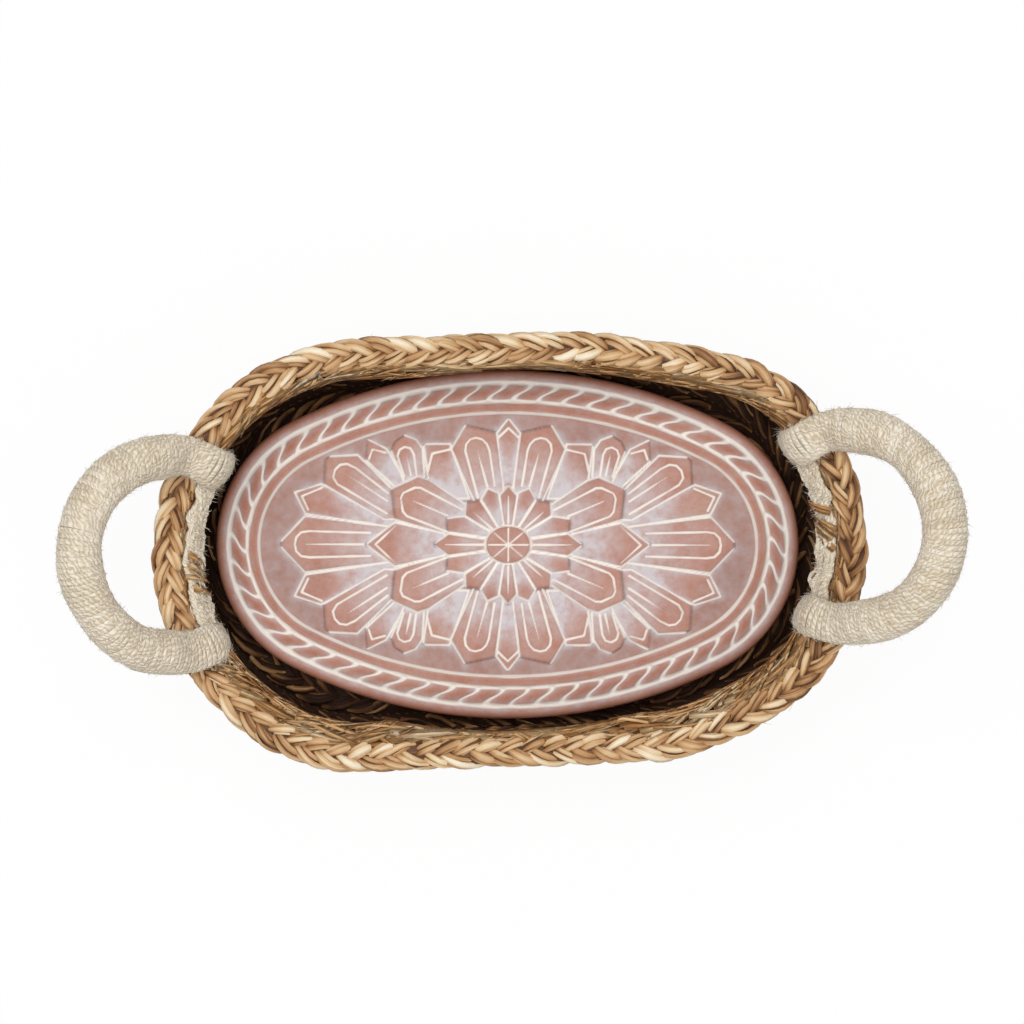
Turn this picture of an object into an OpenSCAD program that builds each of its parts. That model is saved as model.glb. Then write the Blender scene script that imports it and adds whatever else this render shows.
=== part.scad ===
// Bread warmer basket: an oval basket sewn from braided seagrass, two rope handles wound with cotton yarn,
// and a loose oval terracotta tile, carved with a layered rosette, that is heated and laid under the bread.
// The origin is at the middle of the underside, +X runs along the basket and +Z is up.

/* [Terracotta tile] */
// Length of the tile
tile_l = 254; // [236:1:272]
// Width of the tile
tile_w = 152; // [142:1:164]
// Thickness of the tile at its border
tile_t = 17; // [14:0.5:22]
// Plan radius of the tile's two ends
tile_end_r = 60; // [54:1:64]
// Turn of the loose tile in the basket, in degrees
tile_turn = -2; // [-2:0.5:2]
// Shift of the loose tile towards the back of the basket
tile_shift = 1; // [-1:0.5:1]
// Rounding of the tile's upper edge
tile_edge_r = 3.5; // [2:0.5:5]
// Bevel of the tile's lower edge
tile_foot_bevel = 1.5; // [0.5:0.5:3]
// From the tile's edge to the line outside the rope border
outer_line_inset = 5.6; // [5:0.2:7]
// From the tile's edge to the line inside the rope border
inner_line_inset = 13.6; // [12:0.2:15]
// From the tile's edge to the sunk field
field_inset = 19.6; // [18:0.2:21]
// Width of the carved border lines
line_w = 1.6; // [1:0.1:2.2]
// Depth of the carved border lines
line_d = 1; // [0.6:0.1:1.4]
// Number of strands in the carved rope border
rope_strands = 54; // [40:2:66]
// Lean of the carved rope strands from the border's own line, in degrees
rope_lean = 52; // [40:1:65]
// Depth of the sunk field under the border
field_d = 2.2; // [1.6:0.1:3]

/* [Carved rosette] */
// Bare ground between the end petals and the edge of the field
petal_gap_ends = 7; // [4:0.5:10]
// Bare ground between the side petals and the edge of the field
petal_gap_sides = 1.8; // [1:0.2:4]
// Reach of the inner ring of petals along the tile
inner_ring_l = 64; // [56:1:72]
// Reach of the inner ring of petals across the tile
inner_ring_w = 53; // [46:1:58]
// Petals in the inner ring
inner_petals = 16; // [12:4:20]
// Diameter of the button at the middle
button_d = 18.5; // [14:0.5:22]
// Step between one layer of petals and the next
layer_step = 0.28; // [0.2:0.02:0.36]

/* [Seagrass basket] */
// Room between the tile's long sides and the wall
side_room = 1.5; // [1.5:0.5:5]
// Room between the tile's ends and the wall
end_room = 10.5; // [9:0.5:20]
// Height of a wall course, across its braid
course_h = 16; // [13:0.5:20]
// Thickness of a wall course
course_t = 11; // [9:0.5:14]
// Outward step of each wall course over the one below it
course_step = 0.5; // [0:0.25:1]
// Width of the rim braid
rim_w = 16; // [14:0.5:20]
// Height of the rim braid
rim_h = 15; // [12:0.5:18]
// Crown of the rim braid's upper side
rim_crown = 3; // [2:0.5:5]
// Thickness of the floor braid
floor_t = 12; // [9:0.5:16]
// Turns of the floor braid on each side of its first run
floor_turns = 5; // [4:1:6]
// Gap between neighbouring turns of the floor braid
turn_gap = 0.4; // [0.3:0.1:0.8]
// Swell of a braid's sides
braid_swell = 2.5; // [1.5:0.25:3]
// Diameter of the sewing twine
twine_d = 2; // [1.4:0.2:2.6]

/* [Handles] */
// Distance between the two legs of a handle
leg_span = 78; // [70:1:84]
// Straight part of a leg, from the rim to the bow
leg_l = 15.5; // [14:0.5:24]
// Shift of both handles towards the back of the basket
handle_shift = 5; // [-5:1:5]
// Rise of a handle above the level at rest, in degrees
handle_rise = 38; // [34:1:50]
// Diameter of the wound handle
grip_d = 18.6; // [17:0.2:21]
// Thickness of the yarn wound on a handle
yarn_t = 2.2; // [1.6:0.1:2.6]
// Turns of yarn on a handle
yarn_turns = 24; // [18:1:24]
// Gap between neighbouring turns of yarn
yarn_gap = 0.6; // [0.5:0.1:1.2]
// Thickness of the rope's ends, pressed flat where they hook over the rim
hook_t = 8.5; // [7:0.5:9]
// Width of the rope's ends
hook_w = 15; // [12:0.5:17]
// Bend of a hook over the rim
hook_bend = 8; // [7:0.5:9]
// Straight drop of a hook inside the wall
hook_drop = 22; // [12:1:26]
// Diameter of the yarn lashing between the hooks
lash_d = 6; // [4:0.5:7]
// Height of the lashing under the top of the rim
lash_depth = 5; // [4:0.5:8]

/* [Clearances] */
// Clearance of soft pieces from what they lie on
soft_gap = 0.3; // [0.2:0.05:0.5]
// Clearance of the twine in its channel
twine_gap = 0.2; // [0.1:0.05:0.3]
// Clearance of the tile on the floor
tile_gap = 0.1; // [0:0.05:0.3]
// Clearance of the wound yarn from the rope inside it
wrap_gap = 0.5; // [0.4:0.05:0.7]

/* [Hidden] */
$fn = 72;

// Colours of the four materials
clay = "#b98070";
seagrass = "#b3884f";
twine_tan = "#8f7350";
cotton = "#e3d6bd";

// Overshoot of cutters past the faces that they cut
cut_over = 1;

// Plan of the basket: a ring round two end centres, with straight sides between them
wall_r = tile_w / 2 + side_room;
end_x = tile_l / 2 + end_room - wall_r;
course_count = 3;
rim_z = floor_t + course_count * course_h;
rim_top = rim_z + rim_h;
rim_r = wall_r + rim_w / 2;
floor_r = wall_r + course_t;

// The floor's braid is as wide as its turns allow
turn_pitch = (floor_r + turn_gap / 2) / (floor_turns + 0.5);
turn_w = turn_pitch - turn_gap;

// Tile outline: two end arcs and two flat side arcs, tangent where they meet
tile_a = tile_l / 2;
tile_b = tile_w / 2;
tile_end_x = tile_a - tile_end_r;
tile_side_r = (tile_end_x ^ 2 + tile_b ^ 2 - tile_end_r ^ 2) / (2 * (tile_b - tile_end_r));
tile_side_y = tile_side_r - tile_b;
tile_side_angle = atan2(tile_end_x, tile_side_y);
tile_end_angle = 90 - tile_side_angle;
tile_top = tile_t;
field_z = tile_top - field_d;

// Petals of one quarter of the rosette, lowest layer first. Each has the place of its tip as a share of the
// rosette's reach along and across the tile, its half width there in mm, the share of its length at which it
// is widest, and the layer that its top lies in.
petal_reach = [tile_a - field_inset - petal_gap_ends, tile_b - field_inset - petal_gap_sides];
quarter_petals = [
    [0.94, 0.385, 8, 0.86, 1],
    [0.58, 0.79, 5.5, 0.88, 1],
    [0.29, 0.74, 7.5, 0.86, 1],
    [1.00, 0, 10.5, 0.84, 2],
    [0.80, 0.645, 11, 0.86, 2],
    [0.42, 0.87, 6.5, 0.82, 2],
    [0.62, 0, 10, 0.80, 3],
    [0, 1.00, 4.5, 0.88, 3],
    [0.52, 0.335, 10.5, 0.82, 4],
    [0.15, 0.91, 9, 0.80, 4]
];
// Layers of the inner ring: plain petals, then ribbed ones, then the button
plain_layer = 5;
ribbed_layer = 6;
button_layer = 7;
// Petals start under the layer above them
petal_root = 0.3;
// Inner petals: swell of their sides, the share at which they are widest, and the reach of the plain ones
inner_petal_swell = 1.25;
inner_shoulder = 0.72;
plain_reach = 0.92;

// Handles: hooks over the rim, and a bow that turns about the line through its two hinge points
half_span = leg_span / 2;
knuckle_r = hook_t / 2;
hook_line_r = wall_r - soft_gap - knuckle_r;
hinge_x = end_x + sqrt(rim_r ^ 2 - half_span ^ 2);
hinge_z = rim_top + soft_gap + knuckle_r;
// Place of the front leg, -1, or the back leg, 1: across the basket, and by angle and radius about the end centre
function leg_y(side) = handle_shift + side * half_span;
function leg_angle(side) = atan2(leg_y(side), hinge_x - end_x);
function leg_r(side) = norm([leg_y(side), hinge_x - end_x]);
rope_r = grip_d / 2 - yarn_t - wrap_gap;
bow_length = 2 * leg_l + PI * half_span;
// The rope is thin at the hinge and full at the taper's far end
taper_start = knuckle_r - cut_over;
taper_end = leg_l - 2;
lash_r = lash_d / 2;
lash_line_r = wall_r - soft_gap - lash_r;
hook_half_angle = asin((hook_w / 2 + soft_gap) / (hook_line_r - knuckle_r));

// Yarn winding: a flat lay of strands in one unbroken tube, with its two ends tucked into the rope
rings_per_turn = 14;
yarn_start = 7.5;
yarn_start_angle = 270;
yarn_pitch = (bow_length - 2 * yarn_start) / yarn_turns;
tuck_bend = yarn_t / 2 + 0.6;
tuck_depth = yarn_t;
tuck_room = 0.4;
tuck_steps = 3;

// Section of a braid: flat above and below, swelling at its sides
module braid_section(w, h) {
    side_r = ((h / 2) ^ 2 + braid_swell ^ 2) / (2 * braid_swell);
    intersection() {
        square([w + 2 * cut_over, h], center = true);
        translate([w / 2 - side_r, 0]) circle(side_r);
        translate([side_r - w / 2, 0]) circle(side_r);
    }
}

// Half a braid section, for the round end of a run
module half_braid_section(w, h) {
    intersection() {
        braid_section(w, h);
        translate([0, -h]) square([w, 2 * h]);
    }
}

// Notch under a braid that the sewing twine lies in
module under_notch(h) {
    translate([0, -h / 2 + twine_d / 2 + twine_gap]) circle(twine_d / 2 + twine_gap);
    translate([-twine_d / 2, -h / 2 - cut_over]) square([twine_d, cut_over + twine_d / 2]);
}

module course_section() {
    difference() {
        braid_section(course_t, course_h);
        under_notch(course_h);
    }
}

module rim_section() {
    crown_r = ((rim_w / 2) ^ 2 + rim_crown ^ 2) / (2 * rim_crown);
    difference() {
        intersection() {
            braid_section(rim_w, rim_h);
            translate([0, rim_h / 2 - crown_r]) circle(crown_r);
        }
        under_notch(rim_h);
    }
}

module floor_section() {
    difference() {
        braid_section(turn_w, floor_t);
        for (side = [-1, 1]) translate([side * turn_pitch / 2, 0]) circle(twine_d / 2 + twine_gap);
    }
}

// Sweeps a section round the basket's plan, at a radius from the end centres and a height
module round_basket(r, z) {
    for (turn = [0, 180]) rotate([0, 0, turn]) translate([0, 0, z]) {
        translate([end_x, 0, 0]) rotate([0, 0, -90]) rotate_extrude(angle = 180) translate([r, 0]) children();
        translate([0, r, 0]) rotate([90, 0, 90]) linear_extrude(2 * end_x, center = true) children();
    }
}

// Half turn of a flat spiral, round the right or the left end
module half_turn(side, y, r) {
    translate([side * end_x, y, 0])
        rotate([0, 0, -90 * side])
            rotate_extrude(angle = 180) translate([r, 0]) children();
}

// Straight run of a flat spiral, on the back side or, turned about, on the front side
module straight_run(side, r) {
    rotate([0, 0, side > 0 ? 0 : 180]) translate([0, r, 0])
        rotate([90, 0, 90]) linear_extrude(2 * end_x, center = true) children();
}

// Flat spiral about the floor's first run, from one half turn to another. Turns round the right end grow from
// a centre that lies half a pitch off the first run, and turns round the left end from the run itself.
module flat_spiral(first_r, turns) {
    for (i = [0:turns - 1]) {
        half_turn(-1, 0, first_r + i * turn_pitch) children();
        straight_run(1, first_r + i * turn_pitch) children();
        straight_run(-1, first_r + i * turn_pitch) children();
    }
    for (i = [0:turns - 2]) half_turn(1, turn_pitch / 2, first_r + (i + 0.5) * turn_pitch) children();
}

module floor_coil() {
    tail_angle = 140;
    color(seagrass) translate([0, 0, floor_t / 2]) {
        straight_run(1, 0) floor_section();
        translate([-end_x, 0, 0]) rotate([0, 0, 90]) rotate_extrude(angle = 180)
            half_braid_section(turn_w - twine_d, floor_t);
        half_turn(1, turn_pitch / 2, turn_pitch / 2) floor_section();
        flat_spiral(turn_pitch, floor_turns) floor_section();
        difference() {
            translate([end_x, 0, 0]) rotate([0, 0, -90]) rotate_extrude(angle = tail_angle)
                translate([floor_turns * turn_pitch, 0]) braid_section(turn_w, floor_t);
            translate([end_x, turn_pitch / 2, 0])
                cylinder(h = floor_t + 2 * cut_over, r = floor_turns * turn_pitch + turn_gap, center = true);
        }
    }
}

module floor_twine() {
    color(twine_tan) translate([0, 0, floor_t / 2])
        flat_spiral(turn_pitch / 2, floor_turns) circle(twine_d / 2);
}

// Radius of a wall course's middle, counted from 1 at the floor
function course_r(i) = wall_r + course_t / 2 + (i - 1) * course_step;
function course_z(i) = floor_t + (i - 1) * course_h;

module wall_course(i) {
    color(seagrass) round_basket(course_r(i), course_z(i) + course_h / 2) course_section();
}

module rim_braid() {
    color(seagrass) round_basket(rim_r, rim_z + rim_h / 2) rim_section();
}

// Twine that sews a course, or the rim, to what lies under it
module seam_twine(i) {
    r = i > course_count ? rim_r : course_r(i);
    color(twine_tan) round_basket(r, course_z(i) + twine_d / 2 + twine_gap) circle(twine_d / 2);
}

// Sweeps a section along the tile's outline: x is 0 at the tile's edge and falls inwards, y is the height
module along_tile() {
    for (turn = [0, 180]) rotate([0, 0, turn]) {
        translate([tile_end_x, 0, 0]) rotate([0, 0, -tile_end_angle])
            rotate_extrude(angle = 2 * tile_end_angle) translate([tile_end_r, 0]) children();
        translate([0, -tile_side_y, 0]) rotate([0, 0, 90 - tile_side_angle])
            rotate_extrude(angle = 2 * tile_side_angle) translate([tile_side_r, 0]) children();
    }
}

// The tile's outline, drawn in by an inset, as a plate between two heights
module tile_plate(inset, z0, z1) {
    for (turn = [0, 180]) rotate([0, 0, turn]) {
        translate([tile_end_x, 0, 0]) rotate([0, 0, -tile_end_angle])
            rotate_extrude(angle = 2 * tile_end_angle)
                translate([0, z0]) square([tile_end_r - inset, z1 - z0]);
        translate([0, -tile_side_y, 0]) rotate([0, 0, 90 - tile_side_angle])
            rotate_extrude(angle = 2 * tile_side_angle)
                translate([tile_side_y - cut_over, z0]) square([tile_b - inset + cut_over, z1 - z0]);
    }
}

// Place and heading of a point on the tile's outline, by its share of the way round from the +X end
function tile_quarter() = tile_end_r * tile_end_angle + tile_side_r * tile_side_angle;
function tile_heading(share) =
    let (
        quarter = floor(share * 4),
        way = (share * 4 - quarter) * tile_quarter(),
        along = quarter % 2 == 0 ? way : tile_quarter() - way,
        end_part = tile_end_r * tile_end_angle,
        turn = along < end_part ? along / tile_end_r : tile_end_angle + (along - end_part) / tile_side_r
    )
    quarter == 0 ? turn : quarter == 1 ? 180 - turn : quarter == 2 ? 180 + turn : 360 - turn;
function tile_point(heading, inset) =
    let (
        on_side = abs(sin(heading)) > sin(tile_end_angle),
        r = (on_side ? tile_side_r : tile_end_r) - inset,
        cx = on_side ? 0 : tile_end_x * sign(cos(heading)),
        cy = on_side ? -tile_side_y * sign(sin(heading)) : 0
    )
    [cx + r * cos(heading), cy + r * sin(heading)];

// Slanting cuts that part the strands of the rope border
module rope_cuts() {
    middle = (outer_line_inset + inner_line_inset) / 2;
    cut_l = (inner_line_inset - outer_line_inset) / sin(rope_lean);
    for (i = [0:rope_strands - 1]) {
        heading = tile_heading((i + 0.5) / rope_strands);
        spot = tile_point(heading, middle);
        translate([spot[0], spot[1], tile_top]) rotate([0, 0, heading - 90 + rope_lean])
            cube([cut_l, line_w, 2 * line_d], center = true);
    }
}

// Outline of a petal from the middle of the rosette to a tip, with its greatest half width at a shoulder
module petal(tip, half_w, shoulder) {
    reach = norm(tip);
    rotate([0, 0, atan2(tip[1], tip[0])])
        polygon([
            [petal_root * reach, -half_w * petal_root],
            [shoulder * reach, -half_w],
            [reach, 0],
            [shoulder * reach, half_w],
            [petal_root * reach, half_w * petal_root]
        ]);
}

// One raised plate of the rosette, from below the ground of the field to the top of its layer
module layer_plate(layer) {
    translate([0, 0, field_z - cut_over]) linear_extrude(cut_over + layer * layer_step) children();
}

module rosette() {
    for (p = quarter_petals) {
        tip = [p[0] * petal_reach[0], p[1] * petal_reach[1]];
        xs = p[0] == 0 ? [1] : [1, -1];
        ys = p[1] == 0 ? [1] : [1, -1];
        for (x = xs, y = ys) layer_plate(p[4]) petal([x * tip[0], y * tip[1]], p[2], p[3]);
    }
    inner_half_w = inner_petal_swell * PI * (inner_ring_l + inner_ring_w) / 4 / inner_petals;
    for (i = [0:inner_petals - 1]) {
        angle = 360 * i / inner_petals;
        ribbed = i % 2 == 0;
        reach = ribbed ? 1 : plain_reach;
        tip = reach / 2 * [inner_ring_l * cos(angle), inner_ring_w * sin(angle)];
        half_w = ribbed ? inner_half_w : inner_half_w / 2;
        layer_plate(ribbed ? ribbed_layer : plain_layer) petal(tip, half_w, inner_shoulder);
    }
    layer_plate(button_layer) circle(d = button_d);
}

// The slab with its rounded upper edge and bevelled foot
module tile_slab() {
    tile_plate(tile_edge_r, 0, tile_top);
    along_tile() difference() {
        translate([-tile_edge_r - cut_over, 0])
            polygon([
                [0, 0],
                [tile_edge_r + cut_over - tile_foot_bevel, 0],
                [tile_edge_r + cut_over, tile_foot_bevel],
                [tile_edge_r + cut_over, tile_top],
                [0, tile_top]
            ]);
        translate([-tile_edge_r, tile_top - tile_edge_r]) difference() {
            square(tile_edge_r + cut_over);
            circle(tile_edge_r);
        }
    }
}

module terracotta_tile() {
    color(clay) translate([0, tile_shift, floor_t + tile_gap]) rotate([0, 0, tile_turn]) {
        difference() {
            tile_slab();
            tile_plate(field_inset, field_z, tile_top + cut_over);
            along_tile() for (inset = [outer_line_inset, inner_line_inset])
                translate([-inset, tile_top])
                    polygon([[-line_w / 2, cut_over], [-line_w / 2, 0], [0, -line_d], [line_w / 2, 0],
                        [line_w / 2, cut_over]]);
            rope_cuts();
        }
        rosette();
    }
}

// Places a right-hand handle's own frame, with X along its legs, at the hinge line
module at_hinge() {
    translate([hinge_x, handle_shift, hinge_z]) rotate([0, -handle_rise, 0]) children();
}

// Radius of the rope along its run from one hinge point to the other
function rope_radius(s) =
    let (d = min(s, bow_length - s), share = (d - taper_start) / (taper_end - taper_start))
    knuckle_r + (rope_r - knuckle_r) * min(1, max(0, share));

// Place, direction and outward side of the rope along its run
function bow_turn(s) = (s - leg_l) / half_span * 180 / PI;
function on_leg(s) = s < leg_l ? 1 : s > bow_length - leg_l ? -1 : 0;
function bow_point(s) =
    on_leg(s) == 1 ? [s, half_span, 0]
    : on_leg(s) == -1 ? [bow_length - s, -half_span, 0]
    : [leg_l + half_span * sin(bow_turn(s)), half_span * cos(bow_turn(s)), 0];
function bow_along(s) = on_leg(s) != 0 ? [on_leg(s), 0, 0] : [cos(bow_turn(s)), -sin(bow_turn(s)), 0];
function bow_out(s) = on_leg(s) != 0 ? [0, on_leg(s), 0] : [sin(bow_turn(s)), cos(bow_turn(s)), 0];

// Radial and round-about directions at an angle round the rope
function bow_radial(s, angle) = cos(angle) * bow_out(s) + [0, 0, sin(angle)];
function bow_around(s, angle) = -sin(angle) * bow_out(s) + [0, 0, cos(angle)];

// Middle line of the yarn, counted in rings, and the room that it has between its neighbours, which spreads on
// the outside of the bend and closes on the inside. On the taper it clears the rope under its thicker side.
function yarn_radius(s) =
    max(rope_radius(s - yarn_pitch / 2), rope_radius(s + yarn_pitch / 2)) + wrap_gap + yarn_t / 2;
function ring_run(i) = yarn_start + yarn_pitch * i / rings_per_turn;
function ring_angle(i) = yarn_start_angle + 360 * i / rings_per_turn;
function ring_middle(i) =
    let (s = ring_run(i))
    bow_point(s) + yarn_radius(s) * bow_radial(s, ring_angle(i));
function turn_room(i) = norm(ring_middle(i + rings_per_turn) - ring_middle(i));
function yarn_width(i) = min(turn_room(i), turn_room(i - rings_per_turn)) - yarn_gap;

// Six points round the yarn's flat section
function yarn_ring(middle, along, thick, w) = [
    for (p = [[-1 / 2, 0], [-1 / 3, 1 / 2], [1 / 3, 1 / 2], [1 / 2, 0], [1 / 3, -1 / 2], [-1 / 3, -1 / 2]])
        middle + along * p[0] * w + thick * p[1] * yarn_t
];

// A ring of the winding proper, and the rings of the tucked end before or after it
function winding_ring(i) =
    yarn_ring(ring_middle(i), bow_along(ring_run(i)), bow_radial(ring_run(i), ring_angle(i)), yarn_width(i));
function tuck_ring(i, side, step) =
    let (
        s = ring_run(i),
        bend = min(step, tuck_steps) * 90 / tuck_steps,
        sink = step > tuck_steps ? tuck_depth : 0,
        radial = bow_radial(s, yarn_start_angle),
        around = side * bow_around(s, yarn_start_angle),
        middle = bow_point(s) + radial * (yarn_radius(s) - tuck_bend * (1 - cos(bend)) - sink)
            + around * tuck_bend * sin(bend)
    )
    yarn_ring(middle, bow_along(s), cos(bend) * radial + sin(bend) * around, yarn_width(i));

last_ring = yarn_turns * rings_per_turn;
winding_rings = [for (i = [0:last_ring]) winding_ring(i)];
yarn_rings = concat(
    [for (step = [tuck_steps + 1:-1:1]) tuck_ring(0, -1, step)],
    winding_rings,
    [for (step = [1:tuck_steps + 1]) tuck_ring(last_ring, 1, step)]
);

// Least gap between one turn and the next, edge to edge
yarn_least_gap = min([
    for (i = [0:len(winding_rings) - 1 - rings_per_turn])
        norm(winding_rings[i + rings_per_turn][0] - winding_rings[i][3])
]);
echo(yarn_least_gap = yarn_least_gap);

// One tube through rings of six points, with closed ends
module ring_tube(rings) {
    sides = len(rings[0]);
    last = len(rings) - 1;
    polyhedron(
        points = [for (ring = rings, p = ring) p],
        faces = concat(
            [for (k = [1:sides - 2]) [0, k + 1, k]],
            [for (i = [0:last - 1], k = [0:sides - 1], half = [0, 1])
                let (a = i * sides + k, b = i * sides + (k + 1) % sides)
                half == 0 ? [a, b, b + sides] : [a, b + sides, a + sides]],
            [for (k = [1:sides - 2]) [last * sides, last * sides + k, last * sides + k + 1]]
        ),
        convexity = 10
    );
}

// Slots under the rope's legs that the yarn's ends are tucked into
module tuck_slots() {
    slot_w = yarn_pitch - yarn_gap + 2 * tuck_room;
    for (side = [-1, 1])
        translate([yarn_start, side * half_span - tuck_bend, -rope_radius(yarn_start) - cut_over])
            cube([slot_w, yarn_t + 2 * tuck_room, 2 * (tuck_depth + tuck_room + cut_over)], center = true);
}

module handle_rope() {
    color(cotton) at_hinge() difference() {
        union() {
            for (side = [-1, 1]) translate([0, side * half_span, 0]) {
                rotate([90, 0, 0]) cylinder(h = hook_w, r = knuckle_r, center = true);
                rotate([0, 90, 0]) {
                    cylinder(h = taper_start, r = knuckle_r);
                    translate([0, 0, taper_start])
                        cylinder(h = taper_end - taper_start, r1 = knuckle_r, r2 = rope_r);
                    translate([0, 0, taper_end]) cylinder(h = leg_l - taper_end, r = rope_r);
                }
            }
            translate([leg_l, 0, 0]) rotate([0, 0, -90])
                rotate_extrude(angle = 180) translate([half_span, 0]) circle(rope_r);
        }
        tuck_slots();
    }
}

module handle_yarn() {
    color(cotton) at_hinge() ring_tube(yarn_rings);
}

// Section of the rope's end, pressed flat
module hook_section() {
    square([hook_w - hook_t, hook_t], center = true);
    for (side = [-1, 1]) translate([side * (hook_w - hook_t) / 2, 0]) circle(knuckle_r);
}

// The rope's flat end on one side: square over the rim from the hinge, then down inside the wall. It is cut off
// along the hinge line, clear of the knuckle that turns there.
module hook(side) {
    bend_r = hook_line_r + hook_bend;
    bend_z = hinge_z - hook_bend;
    color(cotton) difference() {
        translate([end_x, 0, 0]) rotate([0, 0, leg_angle(side)]) {
            translate([bend_r, 0, hinge_z]) rotate([90, 0, 90])
                linear_extrude(leg_r(side) + hook_w / 2 - bend_r) hook_section();
            translate([bend_r, 0, bend_z]) rotate([90, 0, 0]) rotate([0, 0, 90])
                rotate_extrude(angle = 90) translate([hook_bend, 0]) rotate(90) hook_section();
            translate([hook_line_r, 0, bend_z - hook_drop]) linear_extrude(hook_drop)
                rotate(90) hook_section();
        }
        translate([hinge_x - knuckle_r - soft_gap, leg_y(side) - hook_w, rim_top])
            cube([2 * hook_w, 2 * hook_w, 2 * hook_w]);
    }
}

// Yarn bound along the inside of the rim from hook to hook
module lashing() {
    start = leg_angle(-1) + hook_half_angle;
    color(cotton) translate([end_x, 0, rim_top - lash_depth]) rotate([0, 0, start])
        rotate_extrude(angle = leg_angle(1) - hook_half_angle - start) translate([lash_line_r, 0]) circle(lash_r);
}

// Left-hand pieces mirror the right-hand ones
module left() {
    mirror([1, 0, 0]) children();
}

terracotta_tile();
floor_coil();
floor_twine();
wall_course(1);  // wall_course_1
wall_course(2);  // wall_course_2
wall_course(3);  // wall_course_3
rim_braid();
seam_twine(1);  // seam_twine_1
seam_twine(2);  // seam_twine_2
seam_twine(3);  // seam_twine_3
seam_twine(4);  // seam_twine_4
left() handle_rope();  // left_handle_rope
left() handle_yarn();  // left_handle_yarn
left() hook(-1);  // left_front_hook
left() hook(1);  // left_back_hook
left() lashing();  // left_lashing
handle_rope();  // right_handle_rope
handle_yarn();  // right_handle_yarn
hook(-1);  // right_front_hook
hook(1);  // right_back_hook
lashing();  // right_lashing
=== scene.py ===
import math

import bmesh
import bpy
import numpy as np
from mathutils import Matrix


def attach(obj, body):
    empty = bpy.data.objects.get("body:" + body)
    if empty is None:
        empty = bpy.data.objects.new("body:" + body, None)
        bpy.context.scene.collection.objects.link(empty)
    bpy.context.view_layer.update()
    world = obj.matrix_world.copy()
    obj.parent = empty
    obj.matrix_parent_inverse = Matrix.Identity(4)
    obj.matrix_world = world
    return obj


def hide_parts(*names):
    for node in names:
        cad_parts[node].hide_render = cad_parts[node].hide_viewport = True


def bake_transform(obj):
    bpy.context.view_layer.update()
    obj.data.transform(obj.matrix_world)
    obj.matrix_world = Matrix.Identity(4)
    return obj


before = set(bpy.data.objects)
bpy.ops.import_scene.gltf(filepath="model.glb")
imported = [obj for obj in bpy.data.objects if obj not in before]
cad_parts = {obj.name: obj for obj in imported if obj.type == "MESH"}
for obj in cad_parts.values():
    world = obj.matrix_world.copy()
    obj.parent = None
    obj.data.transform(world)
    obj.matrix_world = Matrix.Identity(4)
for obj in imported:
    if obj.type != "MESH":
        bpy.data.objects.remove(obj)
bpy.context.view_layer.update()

# All lengths below are in mm; meshes are written in metres.
MM = 0.001

# The basket: two round ends about END_X, straight sides between them
END_X = 60.0
COURSES, COURSE_R, COURSE_STEP, COURSE_H = 3, 83.0, 0.5, 16.0
FLOOR_T, FLOOR_OUT = 12.0, 88.5
TURNS, TURN_PITCH = 5, 16.127
RIM_LOW, RIM_TOP = 60.0, 75.0
# The sewing thread: its radius, its gap to the course below, the top seam's place, and its plies
TWINE_R, TWINE_GAP, TOP_SEAM_R = 1.0, 0.2, 85.5
PLY_R, PLY_OFF, PLY_TWIST = 0.56, 0.44, 8.0

# The handles: hinge points on the rim, a bow that rises from them, and hooks down the inside of the wall
HINGE_X, HINGE_Z, HANDLE_SHIFT = 136.087, 79.55, 5.0
HALF_SPAN, BOW_SPAN, BOW = 41.2, 39.4, 43.0
LEG, RISE = 11.9, math.radians(38)
HOOK_LINE_R, HOOK_BEND, HOOK_DROP = 72.95, 8.0, 22.0
GRIP_R, HOOK_HALF_W, HOOK_HALF_T = 9.7, 8.6, 4.6
# The yarn on them: pitch of its turns, points in a turn, half sizes, and how far the core lies under the outside
YARN_PITCH, YARN_STEPS, YARN_HALF_W, YARN_HALF_T, CORE_UNDER = 2.0, 40, 1.4, 0.62, 1.4
LASH_R, LASH_Z = 74.2, 70.0
LASH_START, LASH_END = math.radians(-17.6), math.radians(23.5)

# The tile: end and side arcs of its outline, heights from its own underside
TILE_BASE, TILE_SHIFT, TILE_TURN = 12.1, 1.0, math.radians(-2)
TILE_END_R, TILE_END_X = 60.0, 67.0
TILE_SIDE_R, TILE_SIDE_Y = 208.28, 132.28
TILE_CLEAR = 2.0
TILE_FIELD, FIELD_INSET = 14.8, 19.6
ROPE_OUT, ROPE_IN, FIELD_LINE = 5.6, 13.6, 18.6
ROPE_STRANDS, ROPE_LEAN = 54, math.radians(46)
LAYER_STEP = 0.28


def unit(v):
    return v / np.linalg.norm(v, axis=-1, keepdims=True)


def across_line(v, t):
    """The part of v that is square to the direction t, as a unit vector."""
    return unit(v - np.sum(v * t, axis=-1, keepdims=True) * t)


def smooth_step(low, high, x):
    t = np.clip((x - low) / (high - low), 0, 1)
    return t * t * (3 - 2 * t)


def wander(rng, share, slow, fast, waves=6):
    """Smooth noise of about -1 to 1 along a run, made of waves that each fit it a whole number of times."""
    total = np.zeros_like(share)
    for _ in range(waves):
        total += np.sin(2 * np.pi * (rng.integers(slow, fast + 1) * share + rng.random()))
    return total / math.sqrt(waves)


def line_run(line):
    """Distance along a line of points."""
    return np.concatenate([[0], np.cumsum(np.linalg.norm(np.diff(line, axis=0), axis=1))])


def evenly(line, count, *others):
    """The line, and other values along it, at evenly spaced points."""
    run = line_run(line)
    at = np.linspace(0, run[-1], count)
    spread = [np.stack([np.interp(at, run, v[:, i]) for i in range(v.shape[1])], axis=1) for v in (line, *others)]
    return spread if others else spread[0]


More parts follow.
